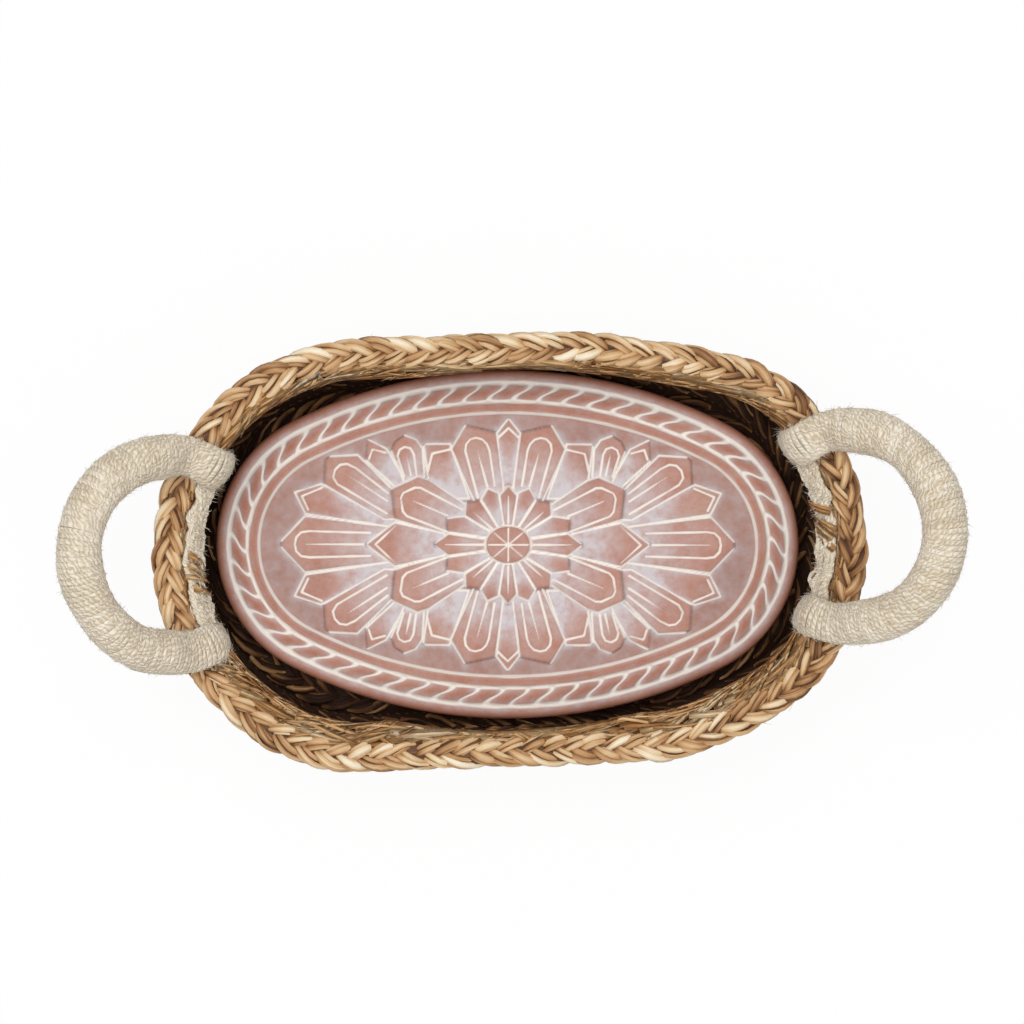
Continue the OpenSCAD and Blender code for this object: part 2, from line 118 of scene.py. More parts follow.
def direction(line, closed):
    if closed:
        ahead = np.roll(line[:-1], -1, axis=0) - np.roll(line[:-1], 1, axis=0)
        return unit(np.concatenate([ahead, ahead[:1]]))
    return unit(np.gradient(line, axis=0))


def rolled(name, runs, material):
    """One object of rolled-up grids. Each run is its points in mm, rings by points round by 3, and its tone: one for
    all, one for each ring or one for each point. A run that ends on its first ring closes on itself, and any other
    has its two ends filled."""
    groups = {}
    for points, tone in runs:
        groups.setdefault(points.shape[:2], []).append((points, tone))
    bm = bmesh.new()
    places, tones, maps, bridges = [], [], [], []
    slip = np.random.default_rng(len(runs))
    for (rings, around), members in groups.items():
        # One grid holds all runs of a shape, end to end; the rows of faces between one run and the next go
        first = len(bm.faces)
        bmesh.ops.create_grid(bm, x_segments=around, y_segments=len(members) * rings - 1, size=1)
        bm.faces.ensure_lookup_table()
        for row in range(rings - 1, len(members) * rings - 1, rings):
            bridges += bm.faces[first + row * around:first + (row + 1) * around]
        for points, tone in members:
            wrapped = np.concatenate([points, points[:, :1]], axis=1)
            places.append(wrapped.reshape(-1, 3))
            tone = np.hstack([tone, tone[:, :1]]) if np.ndim(tone) == 2 else np.reshape(tone, (-1, 1))
            tones.append(np.broadcast_to(tone, wrapped.shape[:2]).ravel())
            girth = np.linalg.norm(np.diff(wrapped[rings // 2], axis=0), axis=1).sum()
            u = np.linspace(0, girth, around + 1) + 900 * slip.random()
            v = line_run(points.mean(axis=1)) + 900 * slip.random()
            maps.append(np.stack(np.meshgrid(u, v), axis=-1).reshape(-1, 2))
    bmesh.ops.delete(bm, geom=bridges, context="FACES")
    mesh = bpy.data.meshes.new(name)
    bm.to_mesh(mesh)
    bm.free()
    mesh.vertices.foreach_set("co", np.concatenate(places).ravel() * MM)
    mesh.attributes.new("tone", "FLOAT", "POINT").data.foreach_set("value", np.concatenate(tones))
    corners = np.empty(len(mesh.loops), int)
    mesh.loops.foreach_get("vertex_index", corners)
    mesh.uv_layers.new(name="run").data.foreach_set("uv", np.concatenate(maps)[corners].ravel())

    close_up(mesh, 32)
    return finished(name, mesh, material)


def close_up(mesh, sides):
    """Joins points that lie on each other, fills holes of up to so many sides and turns all faces outward."""
    bm = bmesh.new()
    bm.from_mesh(mesh)
    bmesh.ops.remove_doubles(bm, verts=bm.verts, dist=1e-6)
    bmesh.ops.holes_fill(bm, edges=[e for e in bm.edges if e.is_boundary], sides=sides)
    bmesh.ops.recalc_face_normals(bm, faces=bm.faces)
    bm.to_mesh(mesh)
    bm.free()


def finished(name, mesh, material):
    mesh.shade_smooth()
    mesh.materials.append(material)
    piece = bpy.data.objects.new(name, mesh)
    bpy.context.scene.collection.objects.link(piece)
    return piece


def linear(code):
    """An sRGB hex colour as linear RGBA."""
    parts = [int(code[i:i + 2], 16) / 255 for i in (1, 3, 5)]
    return [c / 12.92 if c <= 0.04045 else ((c + 0.055) / 1.055) ** 2.4 for c in parts] + [1.0]


def node(tree, kind, settings=None, **links):
    """A node with its settings, and its inputs by name, each from a value or another node's output."""
    made = tree.nodes.new(kind)
    for key, value in (settings or {}).items():
        setattr(made, key, value)
    for key, value in links.items():
        socket = made.inputs[int(key[1:])] if key[1:].isdigit() else made.inputs[key.replace("_", " ")]
        if isinstance(value, bpy.types.NodeSocket):
            tree.links.new(value, socket)
        else:
            socket.default_value = value
    return made


def surface(name):
    """A new material with its tree and its shader."""
    material = bpy.data.materials.new(name)
    material.use_nodes = True
    tree = material.node_tree
    return material, tree, tree.nodes["Principled BSDF"]


def ramp(tree, factor, stops):
    made = node(tree, "ShaderNodeValToRGB", Fac=factor)
    while len(made.color_ramp.elements) < len(stops):
        made.color_ramp.elements.new(0.5)
    for element, (place, code) in zip(made.color_ramp.elements, stops):
        element.position, element.color = place, linear(code)
    return made.outputs["Color"]


def attribute(tree, name):
    """A value that the mesh holds at each point."""
    return node(tree, "ShaderNodeAttribute", {"attribute_name": name}).outputs["Fac"]


def noise(tree, vector, scale, detail, roughness=0.5):
    """Noise from 0 to 1."""
    return node(tree, "ShaderNodeTexNoise", Vector=vector, Scale=scale, Detail=detail,
                Roughness=roughness).outputs["Fac"]


def sums(tree, operation, *values, clamp=False):
    """The result of one step of arithmetic on up to three values."""
    links = {f"v{i}": value for i, value in enumerate(values)}
    return node(tree, "ShaderNodeMath", {"operation": operation, "use_clamp": clamp}, **links).outputs[0]


def mix(tree, factor, first, second, blend="MIX"):
    """A colour between two, by a factor."""
    return node(tree, "ShaderNodeMix", {"data_type": "RGBA", "blend_type": blend}, v0=factor, v6=first,
                v7=second).outputs[2]


def bump(tree, shader, height, strength, distance):
    """Fine relief on a surface."""
    made = node(tree, "ShaderNodeBump", Height=height, Strength=strength, Distance=distance)
    tree.links.new(made.outputs[0], shader.inputs["Normal"])


def seagrass_leaf(name, stops, shine):
    """Dried seagrass: long flat leaves with a waxy skin, streaked lengthwise, from brown to pale straw by tone."""
    material, tree, shader = surface(name)
    uv = node(tree, "ShaderNodeUVMap", {"uv_map": "run"}).outputs[0]
    tone = attribute(tree, "tone")
    # Fibre streaks about 0.5 mm wide and 30 mm long, and blotches about 12 mm long
    fine = node(tree, "ShaderNodeMapping", v0=uv, Scale=(2.0, 0.033, 1.0)).outputs[0]
    streak = noise(tree, fine, 1.0, 4.0, 0.6)
    broad = node(tree, "ShaderNodeMapping", v0=uv, Scale=(0.3, 0.08, 1.0)).outputs[0]
    blotch = noise(tree, broad, 1.0, 3.0)
    part = sums(tree, "MULTIPLY_ADD", streak, 0.62, -0.31)
    part = sums(tree, "MULTIPLY_ADD", blotch, 0.5, part)
    mixed = sums(tree, "ADD", part, tone)
    mixed = sums(tree, "SUBTRACT", mixed, 0.25)
    colour = ramp(tree, mixed, stops)
    tree.links.new(colour, shader.inputs["Base Color"])
    rough = node(tree, "ShaderNodeMapRange", Value=streak, To_Min=0.45, To_Max=0.75).outputs[0]
    tree.links.new(rough, shader.inputs["Roughness"])
    shader.inputs["Specular IOR Level"].default_value = shine
    bump(tree, shader, streak, 0.7, 0.35 * MM)
    return material


def spun_yarn(name, light, dark, dust_and_groove_shade):
    """Spun fibre: soft and dull, its fibres and the twist of its two plies on a slant, with painted shade in the
    grooves.
    """
    material, tree, shader = surface(name)
    uv = node(tree, "ShaderNodeUVMap", {"uv_map": "run"}).outputs[0]
    tone = attribute(tree, "tone")
    # Fibres about 0.6 mm wide, drawn coarser than real so that they show
    slant = node(tree, "ShaderNodeMapping", v0=uv, Rotation=(0, 0, math.radians(35)), Scale=(1.7, 0.26, 1)).outputs[0]
    fibre = noise(tree, slant, 1.0, 3.0)
    # The twist of the plies: slanting ridges about 2 mm apart, which also paint shade into the grooves between them
    leant = node(tree, "ShaderNodeMapping", v0=uv, Rotation=(0, 0, math.radians(-38))).outputs[0]
    place = node(tree, "ShaderNodeTexCoord").outputs["Object"]
    slack = noise(tree, place, 1 / (4 * MM), 1.0)
    slack = sums(tree, "MULTIPLY", slack, 16.0)
    ridge = node(tree, "ShaderNodeTexWave", {"bands_direction": "Y"}, Vector=leant, Scale=0.17, Distortion=3.0,
                 Detail=2.0, Detail_Scale=0.6, Phase_Offset=slack).outputs["Fac"]
    patch = noise(tree, place, 1 / (14 * MM), 3.0)
    part = sums(tree, "MULTIPLY_ADD", fibre, 0.5, tone)
    # The ridges' low parts are painted shade
    part = sums(tree, "MULTIPLY_ADD", ridge, 0.3, part)
    part = sums(tree, "MULTIPLY_ADD", patch, 0.3, part)
    colour = ramp(tree, part, [(0.42, dust_and_groove_shade), (0.72, dark), (0.95, light)])
    tree.links.new(colour, shader.inputs["Base Color"])
    shader.inputs["Roughness"].default_value = 0.9
    shader.inputs["Specular IOR Level"].default_value = 0.2
    shader.inputs["Sheen Weight"].default_value = 0.25
    shader.inputs["Sheen Roughness"].default_value = 0.5
    relief = sums(tree, "ADD", fibre, ridge)
    bump(tree, shader, relief, 0.7, 0.4 * MM)
    return material


def washed_terracotta():
    """Fired red clay, unglazed and matt, with white slip rubbed into the carving and wiped off the flats."""
    material, tree, shader = surface("whitewashed terracotta")
    place = node(tree, "ShaderNodeTexCoord").outputs["Object"]
    line = attribute(tree, "line")
    line = sums(tree, "ABSOLUTE", line)
    wash = attribute(tree, "wash")
    crease_shade = attribute(tree, "crease_shade")
    # Clay clouds about 25 mm across, wipe marks about 5 mm, grit about 0.8 mm
    cloud = noise(tree, place, 1 / (25 * MM), 3.0)
    wipe = noise(tree, place, 1 / (5 * MM), 5.0, 0.6)
    grit = noise(tree, place, 1 / (0.8 * MM), 2.0)
    clay = ramp(tree, cloud, [(0.3, "#a96646"), (0.5, "#b47153"), (0.7, "#b97e62")])
    speck = node(tree, "ShaderNodeMapRange", Value=grit, From_Min=0.3, From_Max=0.7,
                 To_Min=0.88, To_Max=1.08).outputs[0]
    clay = mix(tree, 1.0, clay, speck, "MULTIPLY")
    # The slip's haze: as far as the attribute says, broken up by the wipe marks
    broken = node(tree, "ShaderNodeMapRange", Value=wipe, From_Min=0.3, From_Max=0.7,
                  To_Min=0.55, To_Max=1.3).outputs[0]
    haze = sums(tree, "MULTIPLY", wash, broken, clamp=True)
    hazed = mix(tree, haze, clay, linear("#d0c8cb"))
    # Painted shade in the creases outside the petals' ends and on the sunk ground between them
    painted_shade = sums(tree, "MULTIPLY", crease_shade, 0.7)
    hazed = mix(tree, painted_shade, hazed, linear("#6f4c40"))
    # The carved lines: about 1 mm wide, white, with ragged sides, wider and narrower over about 9 mm
    press = noise(tree, place, 1 / (9 * MM), 1.0)
    ragged = sums(tree, "MULTIPLY_ADD", wipe, 0.4, line)
    ragged = sums(tree, "MULTIPLY_ADD", press, 0.5, ragged)
    drawn = node(tree, "ShaderNodeMapRange", {"interpolation_type": "SMOOTHSTEP"}, Value=ragged,
                 From_Min=0.66, From_Max=1.2, To_Min=0.92, To_Max=0.0).outputs[0]
    colour = mix(tree, drawn, hazed, linear("#f1eae0"))
    tree.links.new(colour, shader.inputs["Base Color"])
    shader.inputs["Roughness"].default_value = 0.82
    shader.inputs["Specular IOR Level"].default_value = 0.3
    bump(tree, shader, grit, 0.35, 0.3 * MM)
    return material


# Colours of seagrass by tone, from brown in the dark to bleached, whole and torn
STRAW = [(0.0, "#38241a"), (0.25, "#885e3a"), (0.45, "#bc9164"),
         (0.62, "#d3ae82"), (0.8, "#e2c8a0"), (1.0, "#f0e2c8")]
TORN = [(0.0, "#3a2115"), (0.25, "#8a5732"), (0.45, "#bd8754"),
        (0.62, "#d4a571"), (0.8, "#e0bd90"), (1.0, "#edd8b8")]
# The rim's leaves keep a little of their wax, those of the walls and floor less, and torn ones almost none
rim_leaf = seagrass_leaf("dry seagrass leaf", STRAW, 0.3)
wall_leaf = seagrass_leaf("dull seagrass leaf", STRAW, 0.12)
torn_leaf = seagrass_leaf("torn seagrass leaf", TORN, 0.06)
cotton = spun_yarn("undyed cotton yarn", "#f2eadb", "#e3d7c2", "#c0ae92")
twine = spun_yarn("plain sewing twine", "#8a7048", "#665033", "#3d2c1a")
clay = washed_terracotta()


# Where the outline was left uneven: back 1 or front -1, middle and reach along x, and share of y
HAND_SPOTS = ((1, 78, 52, 0.07), (-1, 98, 42, 0.04), (-1, -85, 35, -0.015))


def hand_share(x, y):
    """How far out the weaver left the outline, as a share of y: flatter by a few mm at the right-hand shoulders,
    fuller at the front left."""
    flatter = np.zeros_like(x)
    for side, middle, reach, share in HAND_SPOTS:
        near = np.cos(np.pi / 2 * np.clip((x - middle) / reach, -1, 1)) ** 2
        flatter += share * near * smooth_step(-20, 20, side * y)
    return 1 - flatter


def out_from_spine(points):
    """Distance of points from the straight middle line of the even oval."""
    x, y = points[..., 0], points[..., 1]
    return np.hypot(np.maximum(np.abs(x) - END_X, 0), y / hand_share(x, y))


def oval(radius, height, count):
    """Stations round the basket at a radius from its end centres: points, outward directions."""
    arc, side = math.pi * radius, 2 * END_X
    run = np.linspace(0, 2 * (arc + side), count + 1)
    second = run >= arc + side
    part = np.where(second, run - arc - side, run)
    angle = np.clip(part / radius, 0, math.pi) - math.pi / 2
    out = np.stack([np.cos(angle), np.sin(angle), 0 * angle], axis=1)
    x = END_X - np.clip(part - arc, 0, side)
    points = np.stack([x + radius * out[:, 0], radius * out[:, 1], 0 * x], axis=1)
    turn = np.where(second, -1.0, 1.0)[:, None]
    points, out = points * turn, out * turn
    points[-1], out[-1] = points[0], out[0]
    points[:, 1], points[:, 2] = points[:, 1] * hand_share(points[:, 0], points[:, 1]), height
    return points, out


def section(around):
    """Angles of the points round an oval section, from its side."""
    return 2 * np.pi * (np.arange(around) + 0.5) / around


def bundle(middle, side, up, half_w, half_t, around):
    """Rings of an oval section along a line, half_w to its sides and half_t up and down."""
    angle = section(around)
    half_w, half_t = np.broadcast_to(half_w, len(middle)), np.broadcast_to(half_t, len(middle))
    return (middle[:, None] + side[:, None] * (half_w[:, None] * np.cos(angle))[..., None]
            + up[:, None] * (half_t[:, None] * np.sin(angle))[..., None])


# Tones: a leaf's own, the painted shade along its two edges, and those of a braid's heart and a strand's core, real
# leaves drawn dark as painted shade
LEAF_TONE, EDGE_SHADE, HEART_SHADE_TONE, CORE_SHADE_TONE = 0.73, 0.24, 0.12, 0.1
# Shares of a strand's size: its core, how far out its leaves lie, and their half width and half thickness
CORE_SHARE, LEAF_OUT, LEAF_WIDE, LEAF_THICK = 0.34, 0.315, 0.27, 0.17


def braid(seed, path, wide, deep, periods, strand_w, strand_t, sway, dip, leaves, heart, strands, around=6,
          closed=True, full=None, taper=0.12, pit_shade=0.1, brown_and_shade=0.0):
    """Runs of leaves for a flat braid of a few strands along a path. wide and deep are the directions across and
    through the braid, sway and dip how far a strand swings each way in them. Each strand is a bundle of rolled leaves
    about a core, thinner by taper where it goes under the next one, and a flat heart of leaves, by its half sizes,
    closes the braid between its strands; heart and cores are drawn dark as painted shade. full is how far the braid
    has its full size along the path. Tones fall by pit_shade, painted shade down the middle where the strands cross,
    and by brown_and_shade along the path, browner leaves and painted shade."""
    rng = np.random.default_rng(seed)
    count = len(path)
    share = np.linspace(0, 1, count)
    full = np.ones(count) if full is None else full
    # The heart and each strand's core are drawn dark as painted shade between the strands
    runs = [(bundle(path, wide, deep, heart[0] * full, heart[1] * full, 8), HEART_SHADE_TONE)]
    for strand in range(strands):
        turn = 2 * np.pi * (periods * share + strand / strands) + 0.2 * wander(rng, share, periods // 4, periods // 2)
        aside = sway * np.sin(turn) + 0.35 * wander(rng, share, periods // 2, periods * 2)
        lap = np.sin(2 * turn)
        over = dip * lap + 0.25 * wander(rng, share, periods // 2, periods * 2)
        line = path + wide * (aside * full)[:, None] + deep * (over * full)[:, None]
        along = direction(line, closed)
        up = across_line(deep, along)
        side = np.cross(along, up)
        swell = full * (1 - taper * (1 - np.abs(lap))) * (1 + 0.07 * wander(rng, share, periods // 3, periods * 2))
        twist = 0.9 * wander(rng, share, 2, max(3, periods // 3)) + rng.random() * 6.28
        core = bundle(line, side, up, CORE_SHARE * strand_w * swell, CORE_SHARE * strand_t * swell, 6)
        runs.append((core, CORE_SHADE_TONE))
        # Painted shade in the pits down the middle, where strands cross, on top of the darkening along the path
        shade_and_brown = brown_and_shade + pit_shade * (1 - np.abs(lap)) * np.cos(turn) ** 2
        shade_and_brown -= 0.05 * wander(rng, share, periods // 2, periods * 2)
        for leaf in range(leaves):
            spin = twist + 2 * np.pi * leaf / leaves + 0.3 * wander(rng, share, periods // 3, periods * 2)
            out_w, out_t = np.cos(spin), np.sin(spin)
            reach = LEAF_OUT * swell * (1 + 0.16 * wander(rng, share, periods // 3, periods * 2))
            middle = (line + side * (strand_w * reach * out_w)[:, None] + up * (strand_t * reach * out_t)[:, None])
            # Each leaf lies flat against the strand, wider round it than it is thick
            flat = unit(np.stack([-strand_w * out_t, strand_t * out_w], axis=1))
            leaf_side = side * flat[:, :1] + up * flat[:, 1:]
            leaf_up = up * flat[:, :1] - side * flat[:, 1:]
            thick = np.clip(1 + 0.26 * wander(rng, share, periods // 2, periods * 3), 0.3, 1.6) * swell
            points = bundle(middle, leaf_side, leaf_up, LEAF_WIDE * strand_w * thick, LEAF_THICK * strand_w * swell,
                            around)
            tone = LEAF_TONE + 0.11 * rng.standard_normal() + 0.12 * wander(rng, share, 3, periods * 2)
            # Painted shade along each leaf's two edges, where it meets the next
            runs.append((points, (tone - shade_and_brown)[:, None] - EDGE_SHADE * np.cos(section(around)) ** 2))
    if closed:
        for points, _ in runs:
            points[-1] = points[0]
    return runs


def with_painted_shade(runs, shade_at):
    """Runs whose tones fall by the painted shade that shade_at gives at each point, for leaves inside the basket."""
    return [(points, (tone if np.ndim(tone) == 2 else np.reshape(tone, (-1, 1))) - shade_at(points))
            for points, tone in runs]


def strips(line, along, up, width, thick):
    """Points of a thin three-sided strip along a line, flat on the side that up points to."""
    side = np.cross(along, up)
    angle = np.array([0.5, 2.6, 4.7])
    return (line[..., None, :] + side[..., None, :] * (width[..., None] * np.cos(angle) / 2)[..., None]
            + up[..., None, :] * (thick[..., None] * np.sin(angle) / 2)[..., None])


def frays(seed, roots, headings, length, width, tone, droop=0.15, curl=0.35):
    """Loose fibres: thin tapering runs from their roots, each bent its own way."""
    rng = np.random.default_rng(seed)
    share = np.linspace(0, 1, 4)
    runs = []
    for root, heading, shade in zip(roots, headings, np.broadcast_to(tone, (len(roots), 1))[:, 0]):
        reach = length * rng.uniform(0.5, 1.3)
        heading = unit(heading + 0.8 * curl * rng.standard_normal(3))
        bend = curl * rng.standard_normal(3) + (0, 0, -droop)
        line = root + reach * (share[:, None] * heading + share[:, None] ** 2 * bend)
        along = direction(line, False)
        up = across_line(np.broadcast_to((0.12, 0.07, 1.0), along.shape), along)
        thick = width * rng.uniform(0.6, 1.2) * (1 - 0.8 * share)
        runs.append((strips(line, along, up, thick, 0.5 * thick), shade + 0.1 * rng.standard_normal()))
    return runs


UP = np.array([0.0, 0.0, 1.0])

# Rim: a braid that lies flat on the wall, its chevrons running clockwise, darker towards both ends of the basket,
# from browner leaves there and painted shade of the handles
RIM_PERIODS, RIM_RINGS, RIM_R = 17, 20, 85.4
rim_path, rim_out = oval(RIM_R, (RIM_LOW + RIM_TOP) / 2 - 0.1, RIM_PERIODS * RIM_RINGS)
rim_up = np.broadcast_to(UP, rim_path.shape)
rim_brown_and_shade = 0.22 * smooth_step(70, 140, rim_path[:, 0]) + 0.08 * smooth_step(-80, -140, rim_path[:, 0])
rim_runs = braid(11, rim_path, rim_out, rim_up, RIM_PERIODS, strand_w=5.8, strand_t=5.0, sway=4.5, dip=3.4, leaves=4,
                 heart=(5.6, 2.6), strands=5, pit_shade=0.3, brown_and_shade=rim_brown_and_shade)

# Torn leaf ends lie on a core along the rim's inner side. TORN_R and TORN_DOWN place the core, TORN_IN and TORN_UP
# say how far from its middle they lie inwards and up, and TORN_FRONT how much further in they hang along the front.
TORN_R, TORN_DOWN, TORN_IN, TORN_UP, TORN_FRONT = 79.6, 2.0, 3.8, 4.8, 3.6
torn_path = rim_path - rim_out * (RIM_R - TORN_R) - UP * TORN_DOWN
# The core under the torn ends is a roll of leaves drawn dark as painted shade
torn_runs = [(bundle(torn_path, rim_out, rim_up, 3.2, 4.2, 8), HEART_SHADE_TONE)]


def torn_ends(seed, place, turn, lean, length, width, lift, rise):
    """Torn leaf ends on the rim's inner side: flat strips laid along the rim from a place on it and round its section
    from a turn, 0 on top and a right angle on the inside, each by its lean, lifted off it and rising at the tip.
    Along the front they hang further in."""
    rng = np.random.default_rng(seed)
    share = np.linspace(0, 1, 5)
    total = line_run(torn_path)
    at = place[:, None] + (length * np.cos(lean))[:, None] * share
    turn = turn[:, None] + (length * np.sin(lean) / 5.0)[:, None] * share
    middle, out = (np.stack([np.interp(at, total, v[:, i], period=total[-1]) for i in range(3)], axis=-1)
                   for v in (torn_path, rim_out))
    normal = UP * np.cos(turn)[..., None] - out * np.sin(turn)[..., None]
    off = lift[:, None] + rise[:, None] * share ** 2
    hang = TORN_IN + TORN_FRONT * smooth_step(0, -50, middle[..., 1]) + off
    line = (middle - out * (hang * np.sin(turn))[..., None] + UP * ((TORN_UP + off) * np.cos(turn))[..., None])
    # They stand clear of the tile where it passes the rim's long sides
    x, y = line[..., 0], line[..., 1]
    tile_side = np.sqrt(TILE_SIDE_R ** 2 - x ** 2) - TILE_SIDE_Y + TILE_CLEAR
    line[..., 1] = np.where(np.abs(x) < END_X, np.sign(y) * np.maximum(np.abs(y), tile_side), y)
    along = unit(np.gradient(line, axis=1))
    blunt = rng.choice([1.4, 2.2, 4.0], len(place))[:, None]
    wide = width[:, None] * (1 - 0.85 * share ** blunt)
    points = strips(line, along, across_line(normal, along), wide, 0.16 * wide)
    # Ends that turn further round to the inside are darker by painted shade
    tone = 0.66 + 0.13 * rng.standard_normal(len(place)) - 0.12 * np.clip(turn[:, 0] - 0.9, 0, 1.2)
    return list(zip(points, tone))


# Torn ends all along, and clumps of shorter ones that stand up
rng = np.random.default_rng(12)
around_rim = line_run(torn_path)[-1]
ENDS, CLUMPS, CLUMP, OVER, STANDING = 1300, 9, 12, 18, 20
torn_runs += torn_ends(13, place=rng.random(ENDS) * around_rim, turn=rng.uniform(-0.4, 2.3, ENDS),
                       lean=rng.normal(0.16, 0.16, ENDS), length=rng.uniform(13, 27, ENDS),
                       width=rng.uniform(1.6, 4.2, ENDS), lift=rng.uniform(0, 1.0, ENDS),
                       rise=rng.gamma(1.2, 0.25, ENDS))
clumps = np.repeat(rng.random(CLUMPS) * around_rim, CLUMP) + rng.normal(0, 6, CLUMPS * CLUMP)
torn_runs += torn_ends(14, place=clumps, turn=rng.uniform(0.3, 1.3, len(clumps)),
                       lean=rng.uniform(-0.5, 0.9, len(clumps)), length=rng.uniform(4, 9, len(clumps)),
                       width=rng.uniform(1.2, 2.8, len(clumps)), lift=rng.uniform(0.2, 1.2, len(clumps)),
                       rise=rng.gamma(2.0, 0.4, len(clumps)))
# Some leaf ends hang over the lashings, at these places along the rim, the middles of the basket's two ends
LASH_PLACES = (126.0, 500.0)
over = np.repeat(LASH_PLACES, OVER // 2) + rng.uniform(-16, 16, OVER)
torn_runs += torn_ends(16, place=over, turn=rng.uniform(0.1, 0.6, OVER), lean=rng.uniform(0.5, 1.2, OVER),
                       length=rng.uniform(8, 13, OVER), width=rng.uniform(2.0, 4.0, OVER),
                       lift=rng.uniform(4.6, 5.8, OVER), rise=rng.uniform(0.2, 1.0, OVER))
# A few fibres stand off the outside
spots = rng.choice(len(rim_path) - 1, STANDING, replace=False)
standing_way = rim_out[spots] * 0.3 + np.cross(UP, rim_out[spots]) * rng.choice([-1, 1], (STANDING, 1))
rim_runs += frays(15, rim_path[spots] + rim_out[spots] * 5.6 + UP * 1.5, standing_way,
                  length=3.5, width=0.35, tone=0.6)
rim = rolled("rim_braid_leaves", rim_runs, rim_leaf)
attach(rim, "basket")
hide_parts("rim_braid")
torn = rolled("rim_torn_leaf_ends", torn_runs, torn_leaf)
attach(torn, "basket")

# Wall courses: finer braids on edge, their inner sides darkened by painted shade, with loose fibres that lie along
# them
COURSE_PERIODS, COURSE_RINGS = 18, 16
# By course, from below: number of loose fibres, and how much painted shade darkens the inner side
STRAYS = (240, 280, 288)
INNER_PAINTED_SHADE = (0.52, 0.44, 0.30)
for course, (strays, inner_shade) in enumerate(zip(STRAYS, INNER_PAINTED_SHADE)):
    radius = COURSE_R + COURSE_STEP * course
    path, out = oval(radius, FLOOR_T + COURSE_H * (course + 0.5), COURSE_PERIODS * COURSE_RINGS)
    lift = np.broadcast_to(UP, path.shape)
    runs = braid(21 + course, path, lift, out, COURSE_PERIODS, strand_w=5.2, strand_t=4.6, sway=5.5, dip=2.7,
                 leaves=4, heart=(8.8, 1.5), strands=6)
    if course == 0:
        # A flat strip of leaves closes the joint with the floor, drawn dark as painted shade
        runs.append((bundle(path - UP * 7, lift, out, 5.6, 1.3, 8), HEART_SHADE_TONE))
    rng = np.random.default_rng(31 + course)
    spots = rng.choice(len(path) - 1, strays, replace=False)
    way = np.where(rng.random(strays) < 0.25, 1.0, -1.0)[:, None]
    roots = path[spots] + out[spots] * way * 3.9 + rng.normal(0, 1, (strays, 3)) * (0.3, 0.3, 3.4)
    heading = out[spots] * way * -0.05 + np.cross(UP, out[spots]) * rng.choice([-1, 1], (strays, 1)) + (0, 0, 0.12)
    runs += frays(41 + course, roots, heading, length=14, width=1.2, tone=0.58, droop=0, curl=0.1)
    # Painted shade on the inner side of the course
    runs = with_painted_shade(runs, lambda points: inner_shade * smooth_step(radius, radius - 2, out_from_spine(points)))
    wall = rolled(f"wall_course_{course + 1}_leaves", runs, wall_leaf)
    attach(wall, "basket")
    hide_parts(f"wall_course_{course + 1}")


# How far apart the points of the floor's lines lie
STEP = 2.0


def arc_points(cx, cy, r, start, end):
    """Points on an arc about a centre, and their outward directions."""
    count = max(4, int(abs(end - start) * r / STEP))
    angle = np.linspace(start, end, count)
    out = np.stack([np.cos(angle), np.sin(angle)], axis=1)
    return np.array([cx, cy]) + r * out, out


def straight_points(y, start, end):
    """Points on a straight run along x, and the direction to its outer side."""
    count = int(abs(end - start) / STEP)
    x = np.linspace(start, end, count)
    out = np.broadcast_to([0.0, 1.0 if end < start else -1.0], (count, 2))
    return np.stack([x, np.full(count, y)], axis=1), out


def floor_line(first_r, turns):
    """Middle line of the floor's flat spiral, from its first turn, and the outward direction."""
    parts = []
    for turn in range(turns):
        r = first_r + turn * TURN_PITCH
        parts.append(straight_points(r, END_X, -END_X))
        parts.append(arc_points(-END_X, 0, r, math.pi / 2, 1.5 * math.pi))
        parts.append(straight_points(-r, -END_X, END_X))
        if turn < turns - 1:
            parts.append(arc_points(END_X, TURN_PITCH / 2, r + TURN_PITCH / 2, -math.pi / 2, math.pi / 2))
    return parts


def joined(parts, height):
    """One line at a height from runs and arcs in order, shaped by hand like the walls, and its outward directions."""
    line = np.concatenate([p for p, _ in parts])
    line[:, 1] *= hand_share(line[:, 0], line[:, 1])
    out = np.concatenate([o for _, o in parts])
    keep = np.concatenate([[True], np.linalg.norm(np.diff(line, axis=0), axis=1) > 1e-6])
    flat = np.zeros((keep.sum(), 1))
    return np.hstack([line[keep], flat + height]), np.hstack([out[keep], flat])


# Floor: one braid wound flat from its first run, with a tail that thins out to nothing. START is how far beyond END_X
# the first run begins, TURN_GAP the gap between turns, and HEART_OUT how far out the flat heart goes.
FLOOR_PERIODS, FLOOR_RINGS, TAIL_POINTS = 54, 16, 60
START, TURN_GAP, HEART_OUT = 8.5, 0.4, 86.6
tail_turn = np.linspace(-math.pi / 2, math.radians(46), TAIL_POINTS)
tail_in = TURN_PITCH / 2 * np.sin(tail_turn) + np.sqrt(
    (TURNS * TURN_PITCH + TURN_GAP) ** 2 - (TURN_PITCH / 2 * np.cos(tail_turn)) ** 2)
tail_out = np.stack([np.cos(tail_turn), np.sin(tail_turn)], axis=1)
